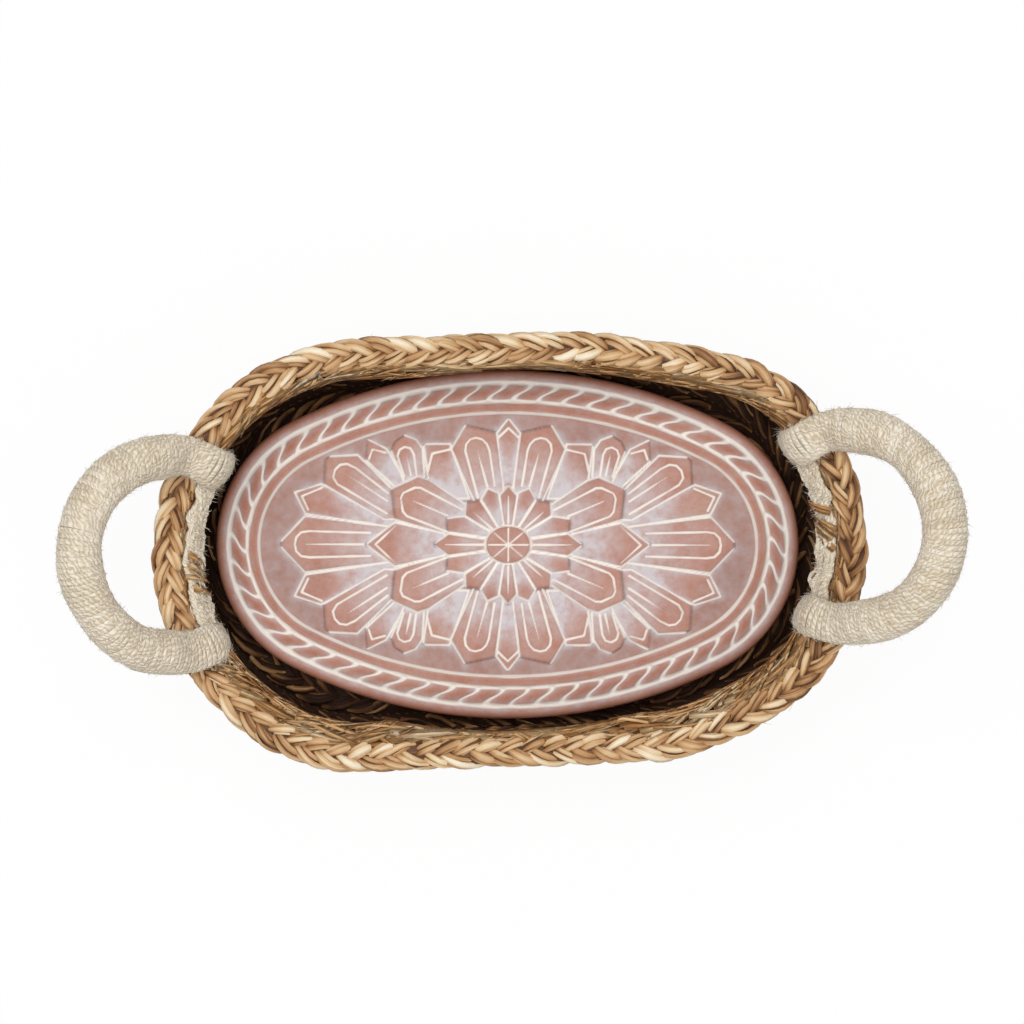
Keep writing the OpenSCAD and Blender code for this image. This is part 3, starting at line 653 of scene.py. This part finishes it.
# Its end is tucked in under the loops of the turn before
tail_middle = (tail_in + FLOOR_OUT) / 2 - 5.0 * smooth_step(40, TAIL_POINTS - 1, np.arange(TAIL_POINTS))
tail = np.array([END_X, 0]) + tail_out * tail_middle[:, None]
floor_parts = [straight_points(0, -END_X - START, END_X),
               arc_points(END_X, TURN_PITCH / 2, TURN_PITCH / 2, -math.pi / 2, math.pi / 2)]
floor_parts += floor_line(TURN_PITCH, TURNS) + [(tail, tail_out)]
floor_path, floor_out = joined(floor_parts, FLOOR_T / 2)
floor_full = np.ones((len(floor_path), 1))
floor_full[-TAIL_POINTS:, 0] = np.clip((FLOOR_OUT - tail_in) / (TURN_PITCH - TURN_GAP), 0.08, 1)
floor_full[:4, 0] = np.linspace(0.7, 1, 4)
floor_path, floor_out, floor_full = evenly(floor_path, FLOOR_PERIODS * FLOOR_RINGS, floor_out, floor_full)
floor_out = unit(floor_out)
floor_runs = braid(51, floor_path, floor_out, np.broadcast_to(-UP, floor_path.shape), FLOOR_PERIODS, strand_w=5.2,
                   strand_t=4.6, sway=5.4, dip=3.1, leaves=2, heart=(9.4, 1.6), strands=6, around=5, closed=False,
                   full=floor_full[:, 0])
heart = floor_runs[0][0]
heart -= floor_out[:, None] * np.maximum(out_from_spine(heart) - HEART_OUT, 0)[..., None]
# Its top inside the wall is darkened by painted shade, and no leaf goes through the table
floor_runs = with_painted_shade(floor_runs, lambda points: 0.56 * smooth_step(80, 77, out_from_spine(points))
                          * smooth_step(4, 8, points[..., 2]))
for points, _ in floor_runs:
    points[..., 2] = np.maximum(points[..., 2], 0)
floor = rolled("floor_braid_leaves", floor_runs, wall_leaf)
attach(floor, "basket")
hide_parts("floor_coil")


def plies(line, ref, ply_r, offset, twist, closed, around=5, tone=0.0):
    """Two plies twisted round each other along a line, one turn every twist mm, the first starting towards ref."""
    along = direction(line, closed)
    up = across_line(ref, along)
    side = np.cross(along, up)
    run = line_run(line)
    laps = round(run[-1] / twist) if closed else run[-1] / twist
    lap = 2 * np.pi * laps * run / run[-1]
    angle = 2 * np.pi * np.arange(around) / around
    runs = []
    for ply in range(2):
        spin = lap + ply * np.pi
        middle = line + offset * (np.cos(spin)[:, None] * up + np.sin(spin)[:, None] * side)
        ring = up[:, None] * np.cos(angle)[:, None] + side[:, None] * np.sin(angle)[:, None]
        points = middle[:, None] + ply_r * ring
        if closed:
            points[-1] = points[0]
        runs.append((points, tone))
    return runs


# Sewing: a thread round each joint of the wall, and one that follows the floor's spiral
SEAM_POINTS, SPIRAL_POINTS = 360, 1300
for seam in range(COURSES + 1):
    radius = COURSE_R + COURSE_STEP * seam if seam < COURSES else TOP_SEAM_R
    path, out = oval(radius, FLOOR_T + COURSE_H * seam + TWINE_R + TWINE_GAP, SEAM_POINTS)
    sewn = rolled(f"seam_twine_{seam + 1}_plies", plies(path, out, PLY_R, PLY_OFF, PLY_TWIST, True), twine)
    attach(sewn, "basket")
    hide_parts(f"seam_twine_{seam + 1}")

path, out = joined(floor_line(TURN_PITCH / 2, TURNS), FLOOR_T / 2)
path, out = evenly(path, SPIRAL_POINTS, out)
floor_thread = plies(path, np.broadcast_to(UP, path.shape), PLY_R, PLY_OFF, PLY_TWIST, False)
sewn = rolled("floor_twine_plies", floor_thread, twine)
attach(sewn, "basket")
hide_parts("floor_twine")


def hook_line(side):
    """From a hook's lower end up the inside of the wall and over the rim, at the front, -1, or the back, 1: points,
    and the direction beside the hook, away from the handle's middle."""
    leg_y = HANDLE_SHIFT + side * HALF_SPAN
    swing = math.atan2(leg_y, HINGE_X - END_X)
    radial = np.array([math.cos(swing), math.sin(swing), 0])
    beside = side * np.array([-math.sin(swing), math.cos(swing), 0])
    centre = np.array([END_X, 0, 0])
    low, bend_z, bend_r = HINGE_Z - HOOK_BEND - HOOK_DROP, HINGE_Z - HOOK_BEND, HOOK_LINE_R + HOOK_BEND
    points = [centre + radial * HOOK_LINE_R + UP * z for z in np.arange(low, bend_z, 1.0)]
    for angle in np.linspace(math.pi, math.pi / 2, 12):
        points.append(centre + radial * (bend_r + HOOK_BEND * math.cos(angle))
                      + UP * (bend_z + HOOK_BEND * math.sin(angle)))
    reach = math.hypot(leg_y, HINGE_X - END_X)
    points += [centre + radial * r + UP * HINGE_Z for r in np.arange(bend_r + 1, reach - 0.5, 1.0)]
    return points, [beside] * len(points)


def handle_line():
    """Middle line of a right-hand handle's rope, from the end of its front hook over the rim, round the bow and
    down to the end of its back hook, with its sideways direction and how far it has its full round section."""
    lean = np.array([math.cos(RISE), 0, math.sin(RISE)])
    hinge = np.array([HINGE_X, HANDLE_SHIFT, HINGE_Z])
    front, front_side = hook_line(-1)
    back, back_side = hook_line(1)
    legs = np.arange(0, LEG, 1.0)
    turn = np.linspace(-math.pi / 2, math.pi / 2, 124)
    across = np.array([0, 1.0, 0])
    splay = [BOW_SPAN + (HALF_SPAN - BOW_SPAN) * (1 - d / LEG) for d in legs]
    points = front + [hinge + lean * d - across * half for d, half in zip(legs, splay)]
    points += [hinge + lean * (LEG + BOW * math.cos(a)) + across * BOW_SPAN * math.sin(a) for a in turn]
    points += [hinge + lean * d + across * half for d, half in zip(legs[::-1], splay[::-1])] + back[::-1]
    sides = front_side + [-across for _ in legs]
    sides += [lean * math.cos(a) + across * math.sin(a) for a in turn]
    sides += [across for _ in legs] + back_side
    leg_full = list(smooth_step(-7, 15, legs))
    full = [0.0] * len(front) + leg_full + [1.0] * len(turn) + leg_full[::-1] + [0.0] * len(back)
    points, sides, full = evenly(np.array(points), 480, np.array(sides), np.array(full)[:, None])
    # Softened everywhere, and more so where the rope turns onto the rim
    near = np.exp(-((np.hypot(points[:, 0] - HINGE_X, np.abs(points[:, 1] - HANDLE_SHIFT) - HALF_SPAN)) / 15) ** 2)
    for values in (points, sides, full):
        for i in range(values.shape[1]):
            some, more = (np.convolve(np.pad(values[:, i], n, mode="edge"), np.hanning(2 * n + 3)[1:-1] / (n + 1),
                                      mode="valid") for n in (10, 30))
            values[:, i] = some + (more - some) * near
    return points, unit(sides), full[:, 0]


rope_line, rope_side, rope_full = handle_line()


# Loose hair of a handle's yarn: most of it lies on the turns and across the grooves, and some stands off as a halo.
# Number, how far it stands off, length and width.
HAIRS = ((2600, 0.06, 4.0, 0.34), (320, 0.6, 1.3, 0.13))


def wound_handle(side_name, seed, turn, spread_leg):
    """A handle with its yarn, wound from hook to hook over a padded core. turn is 1 for the right-hand one, and
    spread_leg says how far one leg stands out to the front, below 0, or to the back."""
    rng = np.random.default_rng(seed)
    run = line_run(rope_line)
    share = run / run[-1]
    along = direction(rope_line, False)
    up = np.cross(along, across_line(rope_side, along))
    side = np.cross(up, along)
    lump = 1 + 0.025 * wander(rng, share, 2, 9)
    half_w = (HOOK_HALF_W + (GRIP_R - HOOK_HALF_W) * rope_full) * lump
    half_t = (HOOK_HALF_T + (GRIP_R - HOOK_HALF_T) * rope_full) * lump

    angle = 2 * np.pi * np.arange(18) / 18
    core = (rope_line[:, None] + side[:, None] * ((half_w - CORE_UNDER)[:, None] * np.cos(angle))[..., None]
            + up[:, None] * ((half_t - CORE_UNDER)[:, None] * np.sin(angle))[..., None])
    runs = [(core[::3], 0.05)]

    # One soft yarn from end to end, pressed flat, its turns drawn together in groups
    turns = run[-1] / YARN_PITCH
    steps = int(turns * YARN_STEPS)
    at = np.linspace(0, 1, steps)
    spot = at + 0.0002 * wander(rng, at, 20, 90) * np.sin(np.pi * at)
    spread = [np.interp(spot, share, v) for v in (*rope_line.T, *side.T, *up.T, half_w, half_t)]
    middle, beside, above = (np.stack(spread[i:i + 3], axis=1) for i in (0, 3, 6))
    sweep = 2 * np.pi * turns * at + 0.25 * wander(rng, at, 10, 60)
    inset = 0.8 - 0.05 * wander(rng, at, 60, 300) - 0.05 * wander(rng, at, 30, 60)
    radius_w, radius_t = spread[9] - inset, spread[10] - inset
    yarn = middle + beside * (radius_w * np.cos(sweep))[:, None] + above * (radius_t * np.sin(sweep))[:, None]
    outward = unit(beside * (np.cos(sweep) / radius_w)[:, None] + above * (np.sin(sweep) / radius_t)[:, None])
    tone = 0.09 + 0.07 * wander(rng, at, 20, 200)
    ahead = direction(yarn, False)
    runs.append((bundle(yarn, np.cross(ahead, outward), outward, YARN_HALF_W, YARN_HALF_T, 7), tone))

    for hairs, off, length, width in HAIRS:
        picks = rng.integers(0, steps, hairs)
        lay = ahead[picks] * rng.choice([-1.0, 1.0], (hairs, 1)) + rng.standard_normal((hairs, 3)) * 0.45
        headings = across_line(lay, outward[picks]) + outward[picks] * off * rng.random((hairs, 1))
        runs += frays(rng.integers(1 << 30), yarn[picks] + outward[picks] * 0.5, headings, length, width,
                      tone=0.24, droop=0, curl=0.08)
    mirror = np.array([turn, 1.0, 1.0])
    for points, _ in runs:
        legs = smooth_step(HINGE_X + 45, HINGE_X + 20, points[..., 0])
        beside_middle = np.sign(spread_leg) * (points[..., 1] - HANDLE_SHIFT)
        points[..., 1] += spread_leg * legs * smooth_step(5, 35, beside_middle)
    wound = rolled(f"{side_name}_handle_wound_yarn", [(p * mirror, t) for p, t in runs], cotton)
    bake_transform(wound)
    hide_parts(f"{side_name}_handle_rope", f"{side_name}_handle_yarn",
                f"{side_name}_front_hook", f"{side_name}_back_hook")


def lashing(side_name, seed, turn):
    """Yarn bound in a flat lay along the inside of the rim from one hook to the other, with loose ends."""
    rng = np.random.default_rng(seed)
    count, strands, hairs = 130, 13, 260
    share = np.linspace(0, 1, count)
    angle = LASH_START + (LASH_END - LASH_START) * (1.2 * share - 0.1)
    out = np.stack([np.cos(angle), np.sin(angle), 0 * angle], axis=1)
    spine = np.array([END_X, 0, 0]) + out * LASH_R + UP * LASH_Z
    runs = []
    sag = 0.7 * wander(rng, share, 1, 4)
    fullness = 1.1 + 0.14 * wander(rng, share, 2, 6)
    for strand in range(strands):
        place = (2 * strand / (strands - 1) - 1) + 0.24 * wander(rng, share, 1, 6)
        inwards = 0.1 + 2.4 * place * fullness + sag + 0.2 * wander(rng, share, 4, 14)
        height = 0.6 + 2.9 * place - 0.9 * place ** 2 + 0.7 * wander(rng, share, 2, 9)
        line = spine + out * inwards[:, None] + UP * height[:, None]
        runs += plies(line, out, ply_r=0.92, offset=0.3, twist=5.5, closed=False,
                      tone=0.12 + 0.06 * rng.standard_normal())
    picks = rng.integers(3, count - 3, hairs)
    roots = spine[picks] + out[picks] * rng.uniform(-3.2, 2.4, (hairs, 1)) + UP * rng.uniform(-2, 4, (hairs, 1))
    headings = -out[picks] * rng.uniform(-0.2, 0.8, (hairs, 1)) + rng.standard_normal((hairs, 3)) * 0.8
    runs += frays(rng.integers(1 << 30), roots, headings, length=3.2, width=0.35, tone=0.28)
    mirror = np.array([turn, 1.0, 1.0])
    bound = rolled(f"{side_name}_lashing_yarn", [(p * mirror, t) for p, t in runs], cotton)
    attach(bound, "basket")
    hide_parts(f"{side_name}_lashing")


# The left handle's front leg and the right one's back leg stand out a little
for side_name, seed, turn, spread_leg in (("left", 61, -1.0, -3.0), ("right", 62, 1.0, 2.0)):
    wound_handle(side_name, seed, turn, spread_leg)
    lashing(side_name, seed + 10, turn)


def mirrored(half, x=1, y=-1):
    """A petal that lies on an axis, from the half of its outline on one side of it."""
    return half + [(px * x, py * y) for px, py in reversed(half)]


# Petals of one quarter of the rosette, lowest first: layer, outline, carved lines, how far the root is washed
# white, and how far the rest is. Places are in mm from the middle, x along the tile and y across it.
PETALS = [
    (1, [(40, 6), (88.2, 13.2), (92.8, 22.5), (81.4, 26.2), (48, 11)],
     [[(87.0, 15.0), (89.8, 20.9), (81.0, 24.6)]], 0.75, 0.10),
    (1, [(46, 22), (61.8, 36.5), (61.1, 45.6), (53.0, 41.6), (44, 26)],
     [[(60.6, 37.2), (59.2, 41.4), (53.5, 39.8)]], 0.70, 0.10),
    (1, [(34.5, 26), (36.8, 42.8), (36.0, 43.7), (25.4, 43.8), (17, 20), (26, 20)],
     [[(35.0, 32.0), (33.2, 39.6), (25.4, 41.4)]], 0.70, 0.10),
    (1, mirrored([(2.2, 22), (5.2, 48.4), (0.3, 54.6)], -1, 1),
     [[(4.4, 46.6), (0, 50.8)]], 0.60, 0.10),
    (2, mirrored([(38, 5.4), (55.2, 8.1), (88.4, 12.2), (98.6, 1.4)]),
     [[(60, 5.0), (86.5, 5.7), (90.0, 5.2), (92.2, 3.0), (92.8, 0)], [(88.2, 0), (63, 0)]], 0.45, 0.10),
    (2, [(46, 11), (53.8, 10.8), (80.0, 25.8), (79.4, 36.8), (77.6, 38.2), (65.6, 38.9), (51.5, 24.9), (44, 18)],
     [[(52.8, 13.4), (74.4, 26.2), (76.2, 29.2), (75.4, 32.4), (73.2, 34.6), (70.2, 35.0), (66.4, 33.2),
       (52.3, 22.2)],
      [(69.4, 29.8), (52.7, 18.9)]], 0.45, 0.10),
    (2, [(45.2, 27), (50.9, 40.6), (49.2, 44.6), (45.1, 47.5), (40.2, 45.6), (37.4, 41.6), (36.4, 27)],
     [[(45.4, 29.6), (48.2, 38.6), (47.4, 41.2), (45.1, 42.5), (42.6, 41.8), (41.2, 39.2), (40.0, 30.4)],
      [(44.4, 39.2), (42.4, 30.2)]], 0.45, 0.10),
    (3, mirrored([(20, 3.0), (49.4, 9.6), (61.3, 0.4)]),
     [[(48.9, 8.2), (57.8, 0)]], 0.65, 0.10),
    (3, [(14, 17), (24.9, 41.6), (18.8, 51.8), (5.2, 48.8), (2.1, 24), (4, 17)],
     [[(13.2, 20.4), (18.8, 40.8), (18.4, 43.8), (16.6, 45.9), (14.1, 46.5), (11.4, 45.8), (9.4, 43.8), (8.3, 41.0),
       (5.9, 25.6)], [(13.6, 41.2), (9.2, 25.4)]], 0.45, 0.10),
    (4, [(18, 5.4), (26.2, 4.2), (49.1, 10.8), (50.6, 24.4), (39.3, 29.7), (34.4, 28.0), (18.4, 17.2)],
     [[(26.6, 5.6), (44.2, 12.4), (45.9, 14.4), (46.8, 20.2), (45.8, 22.4), (40.6, 24.8), (38.2, 24.7),
       (20.0, 15.2)],
      [(42.0, 19.2), (26.2, 12.5)]], 0.40, 0.10),
    (5, [(8, 3), (26.3, 5.3), (26.6, 11.4), (19.2, 12.4), (7, 5)], [], 0.55, 0.10),
    (5, [(3.5, 6.5), (11.9, 19.6), (9.1, 24.6), (4.1, 22.4), (1.8, 7)], [], 0.55, 0.10),
    (6, mirrored([(8, 2.0), (26.0, 4.9), (31.8, 0.5)]), [[(27.6, 0), (10.8, 0)]], 0.40, 0.08),
    (6, [(5, 4.4), (18.9, 12.7), (18.5, 18.4), (12.1, 19.4), (4.0, 6.2)], [[(15.6, 14.5), (7.0, 7.0)]], 0.40, 0.08),
    (6, mirrored([(1.7, 7), (3.9, 21.4), (0.3, 25.6)], -1, 1), [[(0, 21.2), (0, 9.4)]], 0.40, 0.08),
]
BUTTON_A, BUTTON_B, BUTTON_LAYER = 10.0, 8.3, 7
# Slip and painted shade on the ground between the petals, and the groove that each line is cut as
GROUND_WASH, GROUND_SHADE = 0.48, 0.39
GROOVE_DEEP, GROOVE_HALF = 0.5, 0.75
# What stands for the distance to a line where none is near
NO_LINE = 9.0


def piece_distance(x, y, a, b):
    """Distance to the straight piece of line from a to b, and where on it the nearest point lies, 0 to 1."""
    ex, ey = b[0] - a[0], b[1] - a[1]
    t = np.clip(((x - a[0]) * ex + (y - a[1]) * ey) / (ex * ex + ey * ey), 0, 1)
    return np.hypot(x - a[0] - t * ex, y - a[1] - t * ey), t


def inside_outline(x, y, outline):
    """Which points lie inside a closed outline."""
    held = np.zeros(x.shape, bool)
    for a, b in zip(outline, outline[1:] + outline[:1]):
        if a[1] != b[1]:
            held ^= ((a[1] > y) != (b[1] > y)) & (x < (b[0] - a[0]) * (y - a[1]) / (b[1] - a[1]) + a[0])
    return held


def rosette(x, y):
    """Height over the field's ground, distance to the nearest white line, and strength of the wash and of the painted
    shade in the creases, at points in the tile's own plan. Later petals lie on earlier ones and cover their lines."""
    x, y = np.abs(x), np.abs(y)
    height, line = np.zeros_like(x), np.full_like(x, NO_LINE)
    wash, crease_shade = np.full_like(x, GROUND_WASH), np.full_like(x, GROUND_SHADE)
    for layer, outline, lines, root_wash, rest_wash in PETALS:
        far = max(math.hypot(*p) for p in outline)
        near = min(math.hypot(*p) for p in outline)
        held = inside_outline(x, y, outline)
        side, tip = np.full_like(x, 99.0), np.full_like(x, 99.0)
        for a, b in zip(outline, outline[1:] + outline[:1]):
            d, _ = piece_distance(x, y, a, b)
            # Long edges, which run outwards, are drawn white; the ends are not
            if abs(math.hypot(*a) - math.hypot(*b)) > 0.55 * math.hypot(a[0] - b[0], a[1] - b[1]):
                side = np.minimum(side, d)
            else:
                tip = np.minimum(tip, d)
        edge = np.minimum(side, tip)
        rise = smooth_step(0.8, -0.8, np.where(held, -edge, edge))
        # A petal tilts up from under the layer above it to its own tip
        outwards = np.clip((np.hypot(x, y) - near) / (far - near), 0, 1)
        top = layer * LAYER_STEP + 0.9 * (outwards - 0.5) + 0.15 * smooth_step(0, 4, edge)
        height = height + (np.maximum(top, height - 0.1) - height) * rise
        line = np.where(held, side + 0.06, np.minimum(line, side + 0.06))
        for drawn in lines:
            for a, b in zip(drawn, drawn[1:]):
                d, t = piece_distance(x, y, a, b)
                # A single stroke starts thin, but not the chevron of a petal of the lowest layer
                thin = 0.4 * (1 - t) ** 2 if len(drawn) == 2 and layer != 1 else 0.0
                line = np.where(held, np.minimum(line, d + thin), line)
        here = rest_wash + 0.18 + (root_wash + 0.1 - rest_wash) * smooth_step(0.8, 0.3, outwards)
        here = np.maximum(here, 0.55 * np.exp(-(side / 1.4) ** 2))
        wash = np.where(held, here, wash + 0.4 * np.exp(-(side / 1.7) ** 2))
        # Painted shade along the petals' ends, strongest in the crease outside them
        crease_shade = np.where(held, 0.25 * np.exp(-(tip / 0.6) ** 2), np.maximum(crease_shade, np.exp(-(tip / 0.9) ** 2)))
    radius = np.hypot(x / BUTTON_A, y / BUTTON_B)
    held = radius < 1
    ring = np.abs(radius - 1) * 0.5 * (BUTTON_A + BUTTON_B)
    height = np.where(held, BUTTON_LAYER * LAYER_STEP + 0.7 * np.sqrt(np.clip(1 - radius ** 2, 0, 1)), height)
    spokes = np.full_like(x, NO_LINE)
    for angle in (0.0, 45.0, 90.0):
        tip = (0.86 * BUTTON_A * math.cos(math.radians(angle)), 0.86 * BUTTON_B * math.sin(math.radians(angle)))
        spokes = np.minimum(spokes, piece_distance(x, y, (0.0, 0.0), tip)[0])
    line = np.where(held, np.minimum(spokes + 0.12, ring), np.minimum(line, ring))
    wash = np.where(held, 0.3, wash)
    crease_shade = np.where(held, 0, crease_shade)
    height = height - GROOVE_DEEP * np.exp(-(line / GROOVE_HALF) ** 2)
    return height, line, np.clip(wash, 0, 1), crease_shade


def tile_outline(heading, inset):
    """Points of the tile's outline by the direction that it faces, drawn in by an inset."""
    flat = math.atan2(TILE_SIDE_Y, TILE_END_X)
    on_side = np.abs(np.sin(heading)) > math.sin(flat)
    r = np.where(on_side, TILE_SIDE_R, TILE_END_R) - inset
    x = np.where(on_side, 0, TILE_END_X * np.sign(np.cos(heading))) + r * np.cos(heading)
    y = np.where(on_side, -TILE_SIDE_Y * np.sign(np.sin(heading)), 0) + r * np.sin(heading)
    return x, y


def unevenness(x, y):
    """The tile's own unevenness, from being pressed by hand."""
    return (0.16 * np.sin(x / 23 + 1.3) * np.sin(y / 17 + 0.4) + 0.1 * np.sin(x / 9.1 + y / 12.7 + 2.0)
            + 0.06 * np.sin(x / 4.1 - y / 5.3))


def border(grid):
    """The outermost points of a grid, once round."""
    return np.concatenate([grid[0, :-1], grid[:-1, -1], grid[-1, :0:-1], grid[:0:-1, 0]])


def carved_tile():
    """The tile: a fine grid for the carved field, and rings round it for the rope border, the edge and the foot."""
    cells_x, cells_y = 330, 176
    # Field: a square grid drawn out to the oval of the sunk field
    u, v = np.meshgrid(np.linspace(-1, 1, cells_x + 1), np.linspace(-1, 1, cells_y + 1))
    disc_x, disc_y = u * np.sqrt(1 - v ** 2 / 2), v * np.sqrt(1 - u ** 2 / 2)
    heading = np.linspace(-math.pi, math.pi, 20001)
    edge_x, edge_y = tile_outline(heading, FIELD_INSET)
    half_l, half_w = edge_x.max(), edge_y.max()
    turn = np.arctan2(edge_y / half_w, edge_x / half_l)
    order = np.argsort(turn)
    stretch = np.interp(np.arctan2(disc_y, disc_x), turn[order],
                        np.hypot(edge_x / half_l, edge_y / half_w)[order], period=2 * np.pi)
    field_x, field_y = disc_x * stretch * half_l, disc_y * stretch * half_w
    height, line, wash, crease_shade = rosette(field_x, field_y)
    field_z = TILE_FIELD + height + unevenness(field_x, field_y)
    field = np.stack([field_x, field_y, field_z, line, wash, crease_shade], axis=-1)

    # Border: rings from the field's edge out over the rope, round the edge and down to the foot
    ring_x, ring_y = border(field_x), border(field_y)
    near = np.argmin(np.hypot(ring_x[:, None] - edge_x[None, ::10], ring_y[:, None] - edge_y[None, ::10]), axis=1)
    faces = heading[::10][near]
    faces = np.unwrap(np.append(faces, faces[0]))
    out_x, out_y = tile_outline(faces, (ROPE_OUT + ROPE_IN) / 2)
    run = line_run(np.stack([out_x, out_y], axis=1))
    strand = run[-1] / ROPE_STRANDS
    # Inset from the outline and height of each ring
    profile = [(FIELD_INSET, TILE_FIELD), (19.3, 15.0), (19.0, 15.5), (18.6, 15.9), (18.2, 16.5), (17.6, 16.95),
               (16.6, 17.1), (15.4, 17.1), (14.6, 16.95), (14.1, 16.6), (13.6, 16.1), (13.1, 16.6), (12.6, 17.0),
               (11.9, 17.25), (11.1, 17.4), (10.3, 17.45), (9.6, 17.45), (8.9, 17.45), (8.1, 17.4), (7.3, 17.25),
               (6.6, 17.0), (6.1, 16.6), (5.6, 16.1), (5.1, 16.6), (4.5, 16.95), (3.6, 17.0), (2.5, 16.85),
               (1.5, 16.4), (0.8, 15.7), (0.3, 14.8), (0.0, 13.5), (0.0, 7.0), (0.0, 1.5), (1.5, 0.0)]
    rope_middle, rope_half = (ROPE_OUT + ROPE_IN) / 2, (ROPE_IN - ROPE_OUT) / 2
    beyond_rope = 1.02
    rings = []
    for inset, z in profile:
        x, y = tile_outline(faces, inset)
        across = (inset - rope_middle) / rope_half
        slant = across * rope_half / math.tan(ROPE_LEAN) + 1.2 * np.sin(np.pi * across)
        place = (run - slant) / strand
        part = np.abs(place - np.round(place)) * strand * math.sin(ROPE_LEAN)
        # The sign turns from strand to strand, so that the lines between them stay sharp from point to point
        sign = np.where((np.floor(place) % 2 == 0) | (abs(across) > beyond_rope), 1.0, -1.0)
        on_rope = smooth_step(1.0, 0.85, abs(across))
        high = np.full_like(x, z) - on_rope * (0.95 * np.exp(-(part / 0.9) ** 2) + 0.25 * np.exp(-(part / 2.2) ** 2))
        if z > 12:
            high = high + unevenness(x, y)
        to_line = min(abs(inset - ROPE_OUT) / 1.9, abs(inset - ROPE_IN) / 1.6, abs(inset - FIELD_LINE) / 1.25)
        between_strands = part / (1.3 + 1.4 * across ** 4) if abs(across) <= beyond_rope else NO_LINE
        line = sign * np.minimum(between_strands, to_line)
        if inset <= 0:
            line = np.full_like(x, NO_LINE)
        wash = np.full_like(x, 0.07)
        wash += 0.4 * on_rope * np.exp(-(part / 1.9) ** 2) + 0.35 * np.exp(-(to_line / 1.4) ** 2)
        wash += 0.25 * smooth_step(18.9, 19.6, inset) + 0.25 * np.exp(-((inset - 4.2) / 1.5) ** 2) * (z > 14)
        ring = np.stack([x, y, high, line, np.clip(wash, 0, 1), 0 * x], axis=-1)
        ring[-1] = ring[0]
        rings.append(ring)
    loop = border(field)
    rings[0] = np.concatenate([loop, loop[:1]])

    bm = bmesh.new()
    bmesh.ops.create_grid(bm, x_segments=cells_x, y_segments=cells_y, size=1)
    bmesh.ops.create_grid(bm, x_segments=len(ring_x), y_segments=len(profile) - 1, size=1)
    mesh = bpy.data.meshes.new("carved_terracotta_tile")
    bm.to_mesh(mesh)
    bm.free()
    table = np.concatenate([field.reshape(-1, 6), *rings])
    c, s = math.cos(TILE_TURN), math.sin(TILE_TURN)
    x, y, z = table[:, 0], table[:, 1], table[:, 2]
    placed = np.stack([c * x - s * y, s * x + c * y + TILE_SHIFT, z + TILE_BASE], axis=1)
    mesh.vertices.foreach_set("co", placed.ravel() * MM)
    for name, column in (("line", 3), ("wash", 4), ("crease_shade", 5)):
        mesh.attributes.new(name, "FLOAT", "POINT").data.foreach_set("value", table[:, column].copy())
    close_up(mesh, len(ring_x))
    return finished("carved_terracotta_tile", mesh, clay)


tile = carved_tile()
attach(tile, "tile")
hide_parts("terracotta_tile")


# Softboxes: name, place in m, side in m and watts
LAMPS = (("key softbox", (-0.35, 0.35, 1.9), 1.2, 22),
         ("fill softbox", (0.6, -0.5, 1.6), 1.2, 6))


def studio():
    """A white paper floor, a white room and two softboxes overhead."""
    bm = bmesh.new()
    bmesh.ops.create_grid(bm, x_segments=1, y_segments=1, size=3)
    mesh = bpy.data.meshes.new("studio_floor")
    bm.to_mesh(mesh)
    bm.free()
    # White paper: pure white to the camera, with a trace of the object's shadow
    material, tree, shader = surface("white paper floor")
    shader.inputs["Base Color"].default_value = linear("#f4f4f4")
    shader.inputs["Roughness"].default_value = 0.9
    path = node(tree, "ShaderNodeLightPath")
    seen = sums(tree, "ADD", path.outputs["Is Camera Ray"], path.outputs["Is Glossy Ray"])
    seen = sums(tree, "ADD", seen, path.outputs["Is Transmission Ray"], clamp=True)
    seen = sums(tree, "MULTIPLY", seen, 0.93)
    white = node(tree, "ShaderNodeEmission", Color=linear("#ffffff"), Strength=1.0).outputs[0]
    mixed = node(tree, "ShaderNodeMixShader", v0=seen, v1=shader.outputs[0], v2=white).outputs[0]
    tree.links.new(mixed, tree.nodes["Material Output"].inputs["Surface"])
    floor = finished("studio_floor", mesh, material)

    world = bpy.data.worlds.new("white room")
    bpy.context.scene.world = world
    world.use_nodes = True
    sky = world.node_tree.nodes["Background"]
    sky.inputs["Color"].default_value = linear("#ffffff")
    sky.inputs["Strength"].default_value = 0.46

    for name, place, size, watts in LAMPS:
        lamp = bpy.data.lights.new(name, "AREA")
        lamp.size, lamp.energy = size, watts
        lamp_object = bpy.data.objects.new(name, lamp)
        lamp_object.matrix_world = facing(place, -unit(np.array(place)), 0)
        bpy.context.scene.collection.objects.link(lamp_object)


def facing(place, ahead, roll):
    """A place and turn for a camera or lamp that looks ahead, with the top of its picture towards +Y."""
    ahead = np.array(ahead)
    right = unit(np.cross(ahead, (0, 1, 0)))
    up = np.cross(right, ahead)
    c, s = math.cos(roll), math.sin(roll)
    right, up = c * right + s * up, -s * right + c * up
    turn = Matrix([list(right), list(up), list(-ahead)]).transposed().to_4x4()
    return Matrix.Translation(place) @ turn


def photo_camera():
    """The camera at the photo's view: almost straight down, from far off with a long lens."""
    camera = bpy.data.cameras.new("photo camera")
    camera.sensor_width, camera.lens = 36.0, 137.4
    camera.clip_start, camera.clip_end = 0.05, 20
    place, target = np.array((-0.0420, 0.0600, 1.7280)), np.array((0.0021, 0.0152, 0.0280))
    shown = bpy.data.objects.new("photo camera", camera)
    shown.matrix_world = facing(place, unit(target - place), math.radians(-1.81))
    bpy.context.scene.collection.objects.link(shown)
    bpy.context.scene.camera = shown


studio()
photo_camera()
bpy.context.scene.view_settings.view_transform = "Standard"
